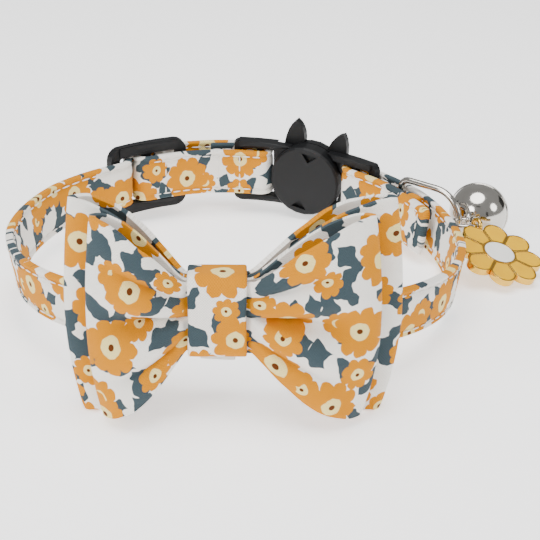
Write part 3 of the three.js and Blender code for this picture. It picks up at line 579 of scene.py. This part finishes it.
long_line = [Vector((PILLOW_START - 0.8, -LAYER)), Vector((-WEB_BAR, -LAYER))]
long_line += arc(-WEB_BAR, LAYER, LAYER, -90, 90)[1:]
long_line += through([(PILLOW_START, LAYER), (PILLOW_START - 7, LAYER * 0.62),
                      (PILLOW_START - 15, LAYER * 0.25), (PILLOW_START - 24, 0)])
long_line += through([(far(SLIDER_LEFT + 16), 0), (far(SLIDER_LEFT + 8), -LAYER * 0.5),
                      (far(SLIDER_LEFT), -LAYER * 1.05), (far(SLIDER_LEFT - SLIDER_BAR), -LAYER * 1.05),
                      (far(DIVE + 0.85), -LAYER * 0.75), (far(DIVE), 0), (far(DIVE - 0.65), LAYER * 0.8),
                      (far(DIVE - 2.2), TAIL_LAYER * 0.9), (far(DIVE - 5.4), TAIL_LAYER)])
long_line += [Vector((far(TAIL_END), TAIL_LAYER))]
long_route, long_length = even(long_line, 0.7)
print("the long strap's route is", round(long_length, 1), "mm")

# %% Rows across the strap, close together at the stitches
STITCH_UP = 3.8
ROWS = (-4.95, -4.6, -4.2, -3.95, -3.65, -3.35, -2.6, -1.3, 0, 1.3, 2.6, 3.35, 3.65, 3.95, 4.2, 4.6, 4.95)


def strap_cloth(name, route, length, node):
    steps, rows = len(route) - 1, len(ROWS) - 1

    def place(u, v):
        at = route[round(u * steps)]
        return on_strap(at.x, at.y, ROWS[round(v * rows)])

    def flat(u, v):
        return (u * length * MM, ROWS[round(v * rows)] * MM)

    def fullness(u, v):
        return 1 - 0.8 * math.exp(-(((abs(ROWS[round(v * rows)]) - STITCH_UP) / 0.32) ** 2))

    bm = cloth_grid(steps, rows, place, flat, fullness)
    piece = put_in_scene(name, bm, strap_cotton, node, slot="printed_cotton")
    piece.vertex_groups.new(name="full")
    thicken(piece, STRAP_THICK, 0.4, "full")


strap_cloth("strap_long_cloth", long_route, long_length, "strap_long")

# %% [markdown]
# ## The doubled strap at the back
# A second, shorter strap joins the slider's middle bar to the buckle: it turns round both and overlaps
# itself between them.

# %% The short strap
SHORT_END = 22.0
SHORT_RETURN = 32.5
WRAP_ACROSS = CENTRE_BAR / 2 + SEAT_GAP + WRAP_SLACK + STRAP_THICK / 2
short_line = [Vector((SHORT_END, LAYER)), Vector((WEB_BAR, LAYER))]
short_line += arc(WEB_BAR, LAYER, LAYER, 90, 270)[1:]
short_line += [Vector((SLIDER_AT, -LAYER))]
short_line += arc(SLIDER_AT, WRAP_ACROSS, LAYER, -90, 90)[1:]
short_line += [Vector((SHORT_RETURN, LAYER))]
short_route, short_length = even(short_line, 0.6)
strap_cloth("strap_short_cloth", short_route, short_length, "strap_short")
print("the short strap's route is", round(short_length, 1), "mm")


# %% [markdown]
# ## The sewn ends
# Where the long strap is folded back past the D-ring, its end is a little cushion of folded cotton. A cube
# cut into a grid, its sides crowned and its corners drawn in, is enough for a form this small. The tail's hem
# is the same, but thinner.

# %% A padded end
PILLOW_LENGTH = 12.0
PILLOW_THICK = 3.0


def padded_end(name, start, end, out_by, thick, width, crown):
    bm = bmesh.new()
    uv = bm.loops.layers.uv.new("cloth")
    bmesh.ops.create_cube(bm, size=1.0)
    bmesh.ops.subdivide_edges(bm, edges=bm.edges[:], cuts=11, use_grid_fill=True)
    for face in bm.faces:
        for loop in face.loops:
            co = loop.vert.co
            loop[uv].uv = ((start + (end - start) * (co.x + 0.5)) * MM, co.z * width * MM)
    for vert in bm.verts:
        u, o, v = vert.co.x * 2, vert.co.y * 2, vert.co.z * 2
        round_ends = (1 - 0.45 * u ** 6) * (1 - 0.4 * v ** 8)
        bulge = 1 + crown * (1 - u * u) * (1 - v ** 4)
        drawn = 1 - 0.05 * abs(u) ** 4 * o * o
        distance = start + (end - start) * (u * (1 - 0.06 * o * o) + 1) / 2
        up_by = v * width / 2 * drawn * (1 - 0.05 * o * o)
        vert.co = on_strap(distance, out_by + o * thick / 2 * round_ends * bulge, up_by)
    bmesh.ops.recalc_face_normals(bm, faces=bm.faces)
    return put_in_scene(name, bm, strap_cotton, slot="printed_cotton")


pillow_out = -LAYER - (PILLOW_THICK - STRAP_THICK) / 4
pillow = padded_end("strap_sewn_end", PILLOW_START, PILLOW_START - PILLOW_LENGTH, pillow_out,
                    PILLOW_THICK, 9.9, 0.1)
padded_end("strap_sewn_fold", PILLOW_START + 0.1, PILLOW_START - 3.8, (LAYER + pillow_out) / 2,
           LAYER * 1.7, 9.4, 0.0)
padded_end("strap_tail_hem", TAIL_END + 4.5, TAIL_END - 0.1, TAIL_LAYER + 0.5, 2.6, 9.8, 0.06)


# %% [markdown]
# ## The stitches
# White thread runs in two rows, a little inside each edge, on both faces. A stitch is a short stroke that
# dips into the cloth at both ends, so each is a small stretched ball. Hundreds are needed, so a ball has few
# faces.

# %% A row of stitches
stitches = bmesh.new()


def stitch(start, end, out_dir):
    """One stroke of thread between two places, half sunk in the cloth."""
    way = end - start
    middle = (start + end) / 2
    side = way.cross(out_dir).normalized()
    up = side.cross(way).normalized()
    turn = Matrix((way.normalized(), side, up)).transposed().to_4x4()
    size = Matrix.Diagonal((way.length / 2, 0.17 * MM, 0.15 * MM, 1))
    place = Matrix.Translation(middle) @ turn @ size @ Matrix.Rotation(math.pi / 2, 4, "Y")
    bmesh.ops.create_uvsphere(stitches, u_segments=6, v_segments=4, radius=1.0, matrix=place)


def stitch_run(start, end, out_by, up_by, outward, pitch=1.9):
    count = max(1, round(abs(end - start) / pitch))
    step = (end - start) / count
    for i in range(count):
        a, b = start + step * (i + 0.1), start + step * (i + 0.9)
        slant = 0.05 if i % 2 else -0.05
        place_a, place_b = on_strap(a, out_by, up_by - slant), on_strap(b, out_by, up_by + slant)
        stitch(place_a, place_b, strap_axes((a + b) / 2)[2] * outward)


def stitch_bar(distance, out_by, low, high, outward, pitch=1.9):
    count = max(1, round((high - low) / pitch))
    step = (high - low) / count
    for i in range(count):
        a = on_strap(distance, out_by, low + step * (i + 0.1))
        b = on_strap(distance, out_by, low + step * (i + 0.9))
        stitch(a, b, strap_axes(distance)[2] * outward)


HALF = STRAP_THICK / 2


def stitch_route(route):
    """Both rows, on both faces, along a route, wherever the strap runs along itself."""
    done = 0
    for a, b in zip(route[::4], route[4::4]):
        level = abs(b.y - a.y) < 0.35 * abs(b.x - a.x)
        if not level:
            continue
        for face in (-1, 1):
            for up_by in (-STITCH_UP, STITCH_UP):
                start, end = a.lerp(b, 0.1), a.lerp(b, 0.9)
                out_a, out_b = start.y + face * HALF, end.y + face * HALF
                place_a, place_b = on_strap(start.x, out_a, up_by), on_strap(end.x, out_b, up_by)
                stitch(place_a, place_b, strap_axes(a.x)[2] * face)
        done += 1
    return done


print("stitch steps:", stitch_route(long_route), stitch_route(short_route))

# %% [markdown]
# The short strap is also held by cross rows, and the sewn end by a box of stitches.

# %% Cross rows
for distance in (SHORT_END - 1.2, SHORT_END - 6.2, SHORT_RETURN + 1.2):
    stitch_bar(distance, -LAYER - HALF, -4.2, 4.2, -1)
    stitch_bar(distance, LAYER + HALF, -4.2, 4.2, 1)
stitch_bar(TAIL_END + 3.9, TAIL_LAYER + 1.9, -4.2, 4.2, 1)
for distance in (PILLOW_START - 4.2, PILLOW_START - 10.6):
    stitch_bar(distance, pillow_out - 1.6, -3.8, 3.8, -1)
for up_by in (-3.9, 3.9):
    stitch_run(PILLOW_START - 4.4, PILLOW_START - 10.4, pillow_out - 1.55, up_by, -1)
put_in_scene("strap_stitches", stitches, thread_white)


# %% [markdown]
# ## The slider and the buckle
# These are injection moulded, so the solids' shapes are right and only their edges are too sharp. A copy of
# each solid is merged, since a loaded solid is loose triangles, flat faces are joined again, and a Bevel
# rounds the edges as a mould would.

# %% Moulded copies
def moulded_copy(name, node, edge):
    bm = bmesh.new()
    bm.from_mesh(nodes[node].data)
    bmesh.ops.remove_doubles(bm, verts=bm.verts, dist=2e-6)
    bmesh.ops.dissolve_limit(bm, angle_limit=math.radians(1.2), verts=bm.verts, edges=bm.edges,
                             delimit={"NORMAL"})
    piece = put_in_scene(name, bm, plastic, node, slot="black_plastic")
    for polygon in piece.data.polygons:
        polygon.use_smooth = False
    soft = piece.modifiers.new("moulded_edge", "BEVEL")
    soft.width = edge * MM
    soft.segments = 3
    soft.limit_method = "ANGLE"
    soft.angle_limit = math.radians(38)
    soft.harden_normals = False


moulded_copy("slider_moulding", "slider", 0.28)
moulded_copy("buckle_left_moulding", "buckle_left", 0.22)
moulded_copy("buckle_right_moulding", "buckle_right", 0.22)

# %% [markdown]
# ## The bow
# A bow tie's wing is a loop of doubled cloth, pressed flat at its ends and gathered at the knot. It could be
# left to a cloth simulation, but a sewn bow keeps a shape that a simulation of a few seconds rarely finds, so
# the gather is shaped by rule: each wing grows taller from the knot outwards, its two faces part and close
# again at the end fold, and a deep crease runs out from the knot along the middle. Small wrinkles are noise
# that is strongest where the cloth is pinched.

# %% A wing's outline and depth, as shares of its length
WING = [(0, 0, 0), (0.08, 0.08, 0.34), (0.16, 0.21, 0.56), (0.34, 0.48, 0.88), (0.49, 0.675, 1.0),
        (0.64, 0.83, 0.96), (0.86, 0.975, 0.66), (1, 1, 0.45)]
UPPER_PULL, LOWER_PULL = 0.05, 0.11
KNOT_WIDTH = 9.8
KNOT_HEIGHT = 14.6
KNOT_HALF = KNOT_WIDTH / 2 + SEAT_GAP
PINCH = KNOT_HEIGHT / 2 - KNOT_WALL - SEAT_GAP * 1.5
KNOT_SHARE = math.sin(2 * math.pi / 40)


def smooth(low, high, value):
    t = min(max((value - low) / (high - low), 0), 1)
    return t * t * (3 - 2 * t)


def eased(rows, at, column):
    """The table again, but rounded where its rows meet."""
    return sum(between(rows, min(max(at + d, 0), 1), column) for d in (-0.05, -0.025, 0, 0.025, 0.05)) / 5


def bow_cloth(name, left, right, half_height, depth, side, node, material, wrinkle_seed):
    flat_out = SEAT_GAP / 2 + BOW_WALL / 2

    def place(u, v):
        turn = 2 * math.pi * u
        v = 2 * v - 1
        reach = right if math.cos(turn) > 0 else left
        way_out = abs(math.cos(turn))
        share = max(0.0, (way_out - KNOT_SHARE) / (1 - KNOT_SHARE))
        x = KNOT_HALF * min(1, way_out / KNOT_SHARE) + (reach - KNOT_HALF) * share
        x = math.copysign(x, math.cos(turn))
        tall = PINCH + (half_height - PINCH) * eased(WING, share, 1)
        bulge = math.sqrt(max(0.0, 1 - share ** 10))
        fade = 1 - smooth(0.3, 1.02 if x > 0 else 1.5, share)
        crease = 1 - 0.86 * fade * math.exp(-((v / (0.11 + 0.12 * share)) ** 2))
        upper_pleat = math.exp(-(((v - 0.55) / 0.12) ** 2))
        lower_pleat = math.exp(-(((v + 0.6) / 0.12) ** 2))
        pleats = 1 - 0.34 * fade * (upper_pleat + lower_pleat)
        lobe = 1 - 0.22 * v ** 4
        full = depth * eased(WING, share, 2) * crease * pleats * lobe + BOW_WALL + FOLD_GAP
        face = math.copysign(1, math.sin(turn)) if abs(math.sin(turn)) > 1e-6 else 0
        y = flat_out + full / 2 + full / 2 * face * bulge
        ripple = noise.noise(Vector((x * 0.13, v * 2.1, wrinkle_seed))) * 0.75 * share
        ripple += noise.noise(Vector((x * 0.35, v * 5.0, wrinkle_seed + 9))) * 0.3 * smooth(0, 0.3, share)
        if face > 0:
            y += ripple * min(1.0, bulge * 1.6) * smooth(0.0, 0.2, share)
        x *= 1 - (UPPER_PULL if v > 0 else LOWER_PULL) * v * v * share
        z = v * tall
        point = on_table(Vector((x + BOW_SIDE, side * y + bow_y, z + bow_z)))
        point.z = max(point.z, 0.4 * MM)
        return point

    total = 2 * (left + right)

    def flat(u, v):
        turn = 2 * math.pi * u
        x = (right if math.cos(turn) > 0 else left) * math.cos(turn)
        sheet_u = x if math.sin(turn) >= 0 else total - x
        share = min(1.0, abs(math.cos(turn)))
        tall = PINCH + (half_height - PINCH) * eased(WING, share, 1)
        return (sheet_u * MM, (2 * v - 1) * (tall * 0.6 + half_height * 0.4) * MM)

    bm = cloth_grid(264, 56, place, flat)
    piece = put_in_scene(name, bm, material, node, slot="printed_cotton")
    thicken(piece, BOW_WALL, 0.4)


bow_cotton_front = printed_cotton("cotton_bow_front", (3.0, 6.5))
bow_cotton_back = printed_cotton("cotton_bow_back", (47.0, 31.0))
bow_cloth("bow_front_cloth", 21.0, 26.4, 17.5, 6.2, -1, "bow_front", bow_cotton_front, 2.0)
bow_cloth("bow_back_cloth", 25.0, 30.3, BACK_HALF_HEIGHT, BACK_DEPTH, 1, "bow_back", bow_cotton_back, 5.0)

# %% [markdown]
# ## The knot
# The knot is a strip of the same cotton, folded at both edges and wrapped round the gathers. It is a
# rounded rectangle seen from the side, drawn in a little at its middle by the pull of the bow.

# %% The knot's wrap
def rounded_ring(half_a, half_b, corner, steps=8):
    """Points round a rounded rectangle."""
    made = []
    corners = ((half_a, -half_b, -90), (half_a, half_b, 0), (-half_a, half_b, 90), (-half_a, -half_b, 180))
    for a, b, start in corners:
        middle = Vector((a - math.copysign(corner, a), b - math.copysign(corner, b)))
        for i in range(steps + 1):
            turn = math.radians(start + 90 * i / steps)
            made.append(middle + corner * Vector((math.cos(turn), math.sin(turn))))
    return made + made[:1]


def wrap_cloth(name, ring, width, place_at, material, thick, node, slot, waist):
    line, length = even(ring, 0.55)
    steps = len(line) - 1

    def place(u, v):
        at = line[round(u * steps) % steps]
        across = (2 * v - 1) * width / 2 * (1 - waist * math.exp(-(at.y / 4.0) ** 2))
        return place_at(at, across)

    def flat(u, v):
        return ((v - 0.5) * width * MM, u * length * MM)

    bm = cloth_grid(steps, 14, place, flat)
    piece = put_in_scene(name, bm, material, node, slot=slot)
    thicken(piece, thick, min(0.35, thick * 0.4))
    return length


def knot_place(at, across):
    dent = 0.25 * math.exp(-(across / 2.2) ** 2) * (1 if at.x < 0 else 0)
    ripple = 0.12 * noise.noise(Vector((across * 0.5, at.y * 0.5, 4.0)))
    return on_table(Vector((across + BOW_SIDE, at.x + dent * 0.4 + ripple + bow_y, at.y + bow_z)))


knot_ring = rounded_ring(knot_half_depth - KNOT_WALL / 2, KNOT_HEIGHT / 2 - KNOT_WALL / 2, 1.5)
bow_cotton_knot = printed_cotton("cotton_knot", (20.5, 14.0))
knot_length = wrap_cloth("bow_knot_cloth", knot_ring, KNOT_WIDTH, knot_place, bow_cotton_knot, KNOT_WALL,
                         "bow_knot", "printed_cotton", 0.03)


# %% The elastic behind the knot
def elastic_place(at, across):
    return on_strap(-HEAD_LENGTH + BOW_SIDE + across, at.x, at.y)


elastic_out = STRAP_THICK / 2 + SEAT_GAP + ELASTIC_THICK / 2
elastic_ring = rounded_ring(elastic_out, elastic_half - ELASTIC_THICK / 2, 0.7)
elastic_length = wrap_cloth("elastic_loop_weave", elastic_ring, 6.0, elastic_place, elastic_weave,
                            ELASTIC_THICK, "elastic_loop", "elastic", 0.0)
print("knot", round(knot_length, 1), "mm round, elastic", round(elastic_length, 1), "mm round")

# %% [markdown]
# ## The D-ring and the jump ring
# Both are nickel-plated wire. The D-ring's bar lies in the strap's fold and its arc swings forward beside the
# strap. A round section carried along the outline makes the D; the jump ring is a small circle spun round its
# own middle.

# %% The D-ring
RING_INNER = 11.3
RING_DEPTH = 14.5
RING_CORNER = 1.4


def ring_axes():
    at, along, out, up = strap_axes(-RING_BAR)
    swing, droop = math.radians(71), math.radians(2.6)
    level = out * math.cos(swing) - along * math.sin(swing)
    depth = level * math.cos(droop) - up * math.sin(droop)
    rise = up * math.cos(droop) + level * math.sin(droop)
    return at, depth, rise, depth.cross(rise)


ring_at, ring_out, ring_up, ring_side = ring_axes()


def on_ring(q, height, side=0.0):
    return on_table(ring_at + ring_out * q + ring_up * (height + 0.2) + ring_side * side)


def bend(x, y, radius, start, end, step):
    """Points of an arc round x, y, from start to end in degrees."""
    turns = [math.radians(t) for t in range(start, end + 1, step)]
    return [Vector((x + radius * math.cos(turn), y + radius * math.sin(turn))) for turn in turns]


ring_half = RING_INNER / 2 + RING_WIRE
d_line = bend(RING_CORNER, -ring_half + RING_CORNER, RING_CORNER, 180, 270, 15)
d_line += bend(RING_DEPTH - ring_half, 0, ring_half, -90, 90, 6)
d_line += bend(RING_CORNER, ring_half - RING_CORNER, RING_CORNER, 90, 180, 15)
d_route, _ = even(d_line + d_line[:1], 0.6)
d_steps = len(d_route) - 1


def d_place(u, v):
    i = round(u * d_steps) % d_steps
    way = (d_route[(i + 1) % d_steps] - d_route[i - 1]).normalized()
    turn = 2 * math.pi * v
    off = Vector((way.y, -way.x)) * (RING_WIRE * math.cos(turn))
    return on_ring(d_route[i].x + off.x, d_route[i].y + off.y, RING_WIRE * math.sin(turn))


put_in_scene("d_ring_wire", cloth_grid(d_steps, 16, d_place, lambda u, v: (u, v)), nickel, "d_ring",
             slot="nickel")

# %% The jump ring
def spun_ring(radius, wire, steps, sides, place, flatten=1.0):
    bm = bmesh.new()
    stand = Matrix.Translation((radius * MM, 0, 0)) @ Matrix.Rotation(math.pi / 2, 4, "X")
    section = Matrix.Diagonal((wire * MM, wire * flatten * MM, 1, 1))
    bmesh.ops.create_circle(bm, segments=sides, radius=1.0, matrix=stand @ section)
    bmesh.ops.spin(bm, geom=bm.edges[:] + bm.verts[:], cent=(0, 0, 0), axis=(0, 0, 1), dvec=(0, 0, 0),
                   angle=2 * math.pi, steps=steps, use_merge=True, use_duplicate=False)
    bmesh.ops.transform(bm, verts=bm.verts, matrix=place)
    bmesh.ops.recalc_face_normals(bm, faces=bm.faces)
    return bm


JUMP_RADIUS = 3.2
JUMP_WIRE = 0.45
jump_middle = on_ring(RING_DEPTH, 0) / MM + Vector((1.3, -1.2, 1.0))
jump_tip = math.radians(8)
jump_place = Matrix.Translation(jump_middle * MM) @ Matrix.Rotation(-jump_tip, 4, "X")
jump_bm = spun_ring(JUMP_RADIUS, JUMP_WIRE, 48, 14, jump_place)
put_in_scene("jump_ring_wire", jump_bm, nickel, "jump_ring", slot="nickel")


def on_jump_ring(side):
    """The middle of the wire, at an angle round the jump ring, in mm."""
    back = Vector((0, math.cos(jump_tip), -math.sin(jump_tip)))
    return (jump_middle + back * (JUMP_RADIUS * math.sin(math.radians(side)))
            + Vector((JUMP_RADIUS * math.cos(math.radians(side)), 0, 0)))


# %% [markdown]
# ## The bell
# A jingle bell is two thin cups pressed together at a seam, with a slot that ends in two holes. Its shell is
# a ball given a wall, and a Boolean cuts the slot and the holes out of it, as the punch does. The shape of
# the cutter is a bar with a round drill at each end.

# %% The bell's place
def pointing(turn, climb):
    """A direction from its angle round the table and its climb, both in radians."""
    return Vector((math.cos(turn) * math.cos(climb), math.sin(turn) * math.cos(climb), math.sin(climb)))


BELL_RADIUS = 6.25
BELL_SIDE = 66
bell_loop = on_jump_ring(BELL_SIDE)
bell_reach = BELL_RADIUS + JUMP_WIRE + SEAT_GAP
bell_climb = math.asin((BELL_RADIUS + 0.35 * 0.6 + SHIFT.z - bell_loop.z) / bell_reach)
bell_heading = math.radians(BELL_SIDE)
foot = pointing(bell_heading, bell_climb)
bell_across = Vector((-math.sin(bell_heading), math.cos(bell_heading), 0))
bell_up = foot.cross(bell_across)
bell_place = Matrix((bell_across, bell_up, foot)).transposed().to_4x4()
bell_place.translation = (bell_loop + foot * bell_reach) * MM
print("bell at", [round(c * 1000, 1) for c in bell_place.translation])


# %% The shell and its cuts
BELL_WALL = 0.5
SLOT_WIDTH = 1.0
HOLE_RADIUS = 1.2


def cut_away(piece, cutter):
    """Applies a Boolean difference at once, then removes the cutter."""
    cut = piece.modifiers.new("cut", "BOOLEAN")
    cut.operation = "DIFFERENCE"
    cut.solver = "EXACT"
    cut.object = cutter
    bpy.context.view_layer.update()
    made = bpy.data.meshes.new_from_object(piece.evaluated_get(bpy.context.evaluated_depsgraph_get()))
    piece.modifiers.clear()
    piece.data = made
    bpy.data.objects.remove(cutter)


bell_bm = bmesh.new()
bmesh.ops.create_uvsphere(bell_bm, u_segments=72, v_segments=36, radius=BELL_RADIUS * MM)
inner_radius = (BELL_RADIUS - BELL_WALL) * MM
inner = bmesh.ops.create_uvsphere(bell_bm, u_segments=72, v_segments=36, radius=inner_radius)
bmesh.ops.reverse_faces(bell_bm, faces=list({face for vert in inner["verts"] for face in vert.link_faces}))
bell = put_in_scene("bell_shell", bell_bm, nickel, "bell", slot="nickel")
cut_bm = bmesh.new()
hole_turn = math.radians(58)
slot_long = 2 * BELL_RADIUS * math.sin(hole_turn)
slot_size = Matrix.Diagonal((SLOT_WIDTH * MM, slot_long * MM, 2 * BELL_RADIUS * MM, 1))
slot_place = Matrix.Translation((0, 0, BELL_RADIUS * 1.2 * MM)) @ slot_size
bmesh.ops.create_cube(cut_bm, size=1.0, matrix=slot_place)
cut_away(bell, put_in_scene("cutter_slot", cut_bm, nickel))
for side in (-1, 1):
    hole_bm = bmesh.new()
    drill = Matrix.Rotation(side * hole_turn, 4, "X") @ Matrix.Translation((0, 0, BELL_RADIUS * MM))
    bmesh.ops.create_cone(hole_bm, cap_ends=True, segments=28, radius1=HOLE_RADIUS * MM,
                          radius2=HOLE_RADIUS * MM, depth=BELL_RADIUS * MM, matrix=drill)
    cut_away(bell, put_in_scene("cutter_hole", hole_bm, nickel))
bell.data.transform(bell_place)
for polygon in bell.data.polygons:
    polygon.use_smooth = True


# %% [markdown]
# The cups' rims meet in a rounded seam, and a wire loop is soldered to the crown.

# %% The bell's seam and loop
seam_ring = spun_ring(BELL_RADIUS - 0.14, 0.34, 72, 10, bell_place, 0.8)
put_in_scene("bell_seam", seam_ring, nickel, slot="nickel")
crown = Matrix.Translation((0, 0, -(bell_reach + JUMP_WIRE * 0.2) * MM))
loop_place = bell_place @ crown @ Matrix.Rotation(math.pi / 2, 4, "Y")
put_in_scene("bell_eye", spun_ring(1.5, 0.45, 36, 12, loop_place), nickel, slot="nickel")

# %% [markdown]
# ## The daisy charm
# The charm is a cast plate with raised rims, gilded, its cups filled with coloured enamel that stands a
# little proud, like drops of water. Each petal is a flat oval whose sides are cut straight where it meets its
# neighbours. The same outline, drawn in a little more at each height, gives the wall, the rim and the cup's
# floor, and once more the enamel's dome.

# %% The charm's place
CHARM_THICK = 1.5
CUP_DEPTH = 0.35
RIM = 0.34
PETALS = 8
CHARM_REACH = 9.3  # from the charm's middle to its bail
CHARM_SIDE = -50
bail_at = on_jump_ring(CHARM_SIDE)
charm_heading, charm_pitch, charm_roll = math.radians(113), math.radians(20), math.radians(8)
towards = pointing(charm_heading, charm_pitch)
level = Vector((math.sin(charm_heading), -math.cos(charm_heading), 0))
charm_face = level.cross(towards)
charm_across = level * math.cos(charm_roll) - charm_face * math.sin(charm_roll)
charm_out = charm_across.cross(towards)
charm_place = Matrix((charm_across, towards, charm_out)).transposed().to_4x4()
charm_place.translation = (bail_at - towards * CHARM_REACH) * MM


# %% Petals in metal and in enamel
HUB_RADIUS = 3.5
PETAL_AT = 5.8
PETAL_HALF_LONG = 3.4
PETAL_HALF_WIDE = 2.75
PETAL_POINTS = 56
HUB_POINTS = 64
half = CHARM_THICK / 2
border = math.tan(math.pi / PETALS)


def petal_line(number, shrink):
    """A flat petal: an oval whose points past its neighbours' borders are drawn back to them."""
    turn = 2 * math.pi * (number + 0.5) / PETALS + math.pi / 2
    made = []
    for i in range(PETAL_POINTS):
        way = 2 * math.pi * i / PETAL_POINTS
        x = max(HUB_RADIUS - 0.25 + shrink, PETAL_AT + (PETAL_HALF_LONG - shrink) * math.cos(way))
        limit = x * border - shrink / math.cos(math.pi / PETALS)
        y = max(-limit, min(limit, (PETAL_HALF_WIDE - shrink) * math.sin(way)))
        made.append(Matrix.Rotation(turn, 2) @ Vector((x, y)))
    return made


def round_line(shrink):
    turns = [2 * math.pi * i / HUB_POINTS for i in range(HUB_POINTS)]
    return [(HUB_RADIUS - shrink) * Vector((math.cos(turn), math.sin(turn))) for turn in turns]


def layered(bm, lines):
    """A closed form from outlines of equally many points, each with its height, the lowest first."""
    rings = [[bm.verts.new((point.x, point.y, height)) for point in line] for line, height in lines]
    for low, high in zip(rings, rings[1:]):
        for i in range(len(low)):
            bm.faces.new((low[i - 1], low[i], high[i], high[i - 1]))
    bm.faces.new(rings[0])
    bm.faces.new(rings[-1])
    bmesh.ops.remove_doubles(bm, verts=[vert for ring in rings for vert in ring], dist=1e-5)


def cup(bm, line, low, high):
    """A plate with a raised rim."""
    layered(bm, [(line(0), low), (line(0), high), (line(RIM), high), (line(RIM), high - CUP_DEPTH)])


def drop(bm, line, low, proud):
    """A shallow dome of enamel inside a rim."""
    steps = ((0.0, 0.3), (0.1, 0.37), (0.28, 0.42), (0.5, 0.44))
    edge = RIM * 0.95
    layered(bm, [(line(edge), low)] + [(line(edge + inset), low + rise * proud) for inset, rise in steps])


metal, yellow, white = bmesh.new(), bmesh.new(), bmesh.new()
for number in range(PETALS):
    cup(metal, lambda shrink: petal_line(number, shrink), -half, half)
    drop(yellow, lambda shrink: petal_line(number, shrink), half - CUP_DEPTH - 0.05, 1.0)
cup(metal, round_line, -half - 0.03, half + 0.07)
drop(white, round_line, half - CUP_DEPTH, 1.1)
bmesh.ops.create_cone(metal, cap_ends=True, segments=16, radius1=0.55, radius2=0.5, depth=2.2,
                      matrix=Matrix.Translation((0, 7.0, 0)) @ Matrix.Rotation(-math.pi / 2, 4, "X"))
for bm in (metal, yellow, white):
    bmesh.ops.recalc_face_normals(bm, faces=bm.faces)
    bmesh.ops.transform(bm, verts=bm.verts, matrix=charm_place @ Matrix.Scale(MM, 4))
charm = put_in_scene("charm_metal", metal, gilt, "charm", slot="gilt")
put_in_scene("charm_enamel_petals", yellow, enamel_yellow, slot="gilt")
put_in_scene("charm_enamel_heart", white, enamel_white, slot="gilt")
bail_place = charm_place @ Matrix.Translation((0, CHARM_REACH * MM, 0)) @ Matrix.Rotation(math.pi / 2, 4, "Y")
put_in_scene("charm_bail", spun_ring(1.3, 0.45, 36, 12, bail_place), gilt, slot="gilt")
soft_rim = charm.modifiers.new("soft_rim", "BEVEL")
soft_rim.width = 0.07 * MM
soft_rim.segments = 2
soft_rim.limit_method = "ANGLE"
soft_rim.angle_limit = math.radians(50)

# %% [markdown]
# ## The floor
# A wide pale sheet, a hair below the collar, catches the soft shadows.

# %% Floor
def matt_paper(name, scale, light, dark, glow=0.0):
    w = Wires(name)
    grain = w.noise(place_of(w), scale, 2.0)
    w.feed(w.shader.inputs["Base Color"], w.mix(grain, rgb(light), rgb(dark)))
    w.shader.inputs["Roughness"].default_value = 0.9
    w.shader.inputs["Emission Color"].default_value = (1.0, 1.0, 1.0, 1)
    w.shader.inputs["Emission Strength"].default_value = glow
    return w.material


def staged_sheet(name, size, matrix, material, seen=True):
    bm = bmesh.new()
    bmesh.ops.create_grid(bm, x_segments=1, y_segments=1, size=size)
    bmesh.ops.transform(bm, verts=bm.verts, matrix=matrix)
    mesh = bpy.data.meshes.new(name)
    bm.to_mesh(mesh)
    bm.free()
    mesh.materials.append(material)
    sheet = bpy.data.objects.new(name, mesh)
    bpy.context.scene.collection.objects.link(sheet)
    sheet.visible_camera = seen


FLOOR_DROP = 0.0001
paper = matt_paper("paper", 300, "fdfdfd", "f6f6f6", 1.0)
staged_sheet("floor", 3.0, Matrix.Translation((0, 0, -FLOOR_DROP)), paper)

# %% [markdown]
# Bright metal is only as lively as what it mirrors. Three dark cards stand outside the picture and are seen
# only in reflections, so that the bell and the rings get dark strips between the lamps.

# %% Dark cards
CARD_AIM = Vector((0.04, 0.03, 0.01))
card_paper = matt_paper("card_paper", 90, "101010", "1c1c1c")
for number, (place, wide, tall) in enumerate([((0.16, -0.22, 0.05), 0.035, 0.1),
                                              ((-0.02, -0.26, 0.27), 0.12, 0.03),
                                              ((0.24, 0.12, 0.06), 0.1, 0.09)]):
    turn = (CARD_AIM - Vector(place)).to_track_quat("Z", "Y").to_matrix().to_4x4()
    card_place = Matrix.Translation(place) @ turn @ Matrix.Diagonal((wide, tall, 1, 1))
    staged_sheet(f"card_{number}", 0.5, card_place, card_paper, seen=False)
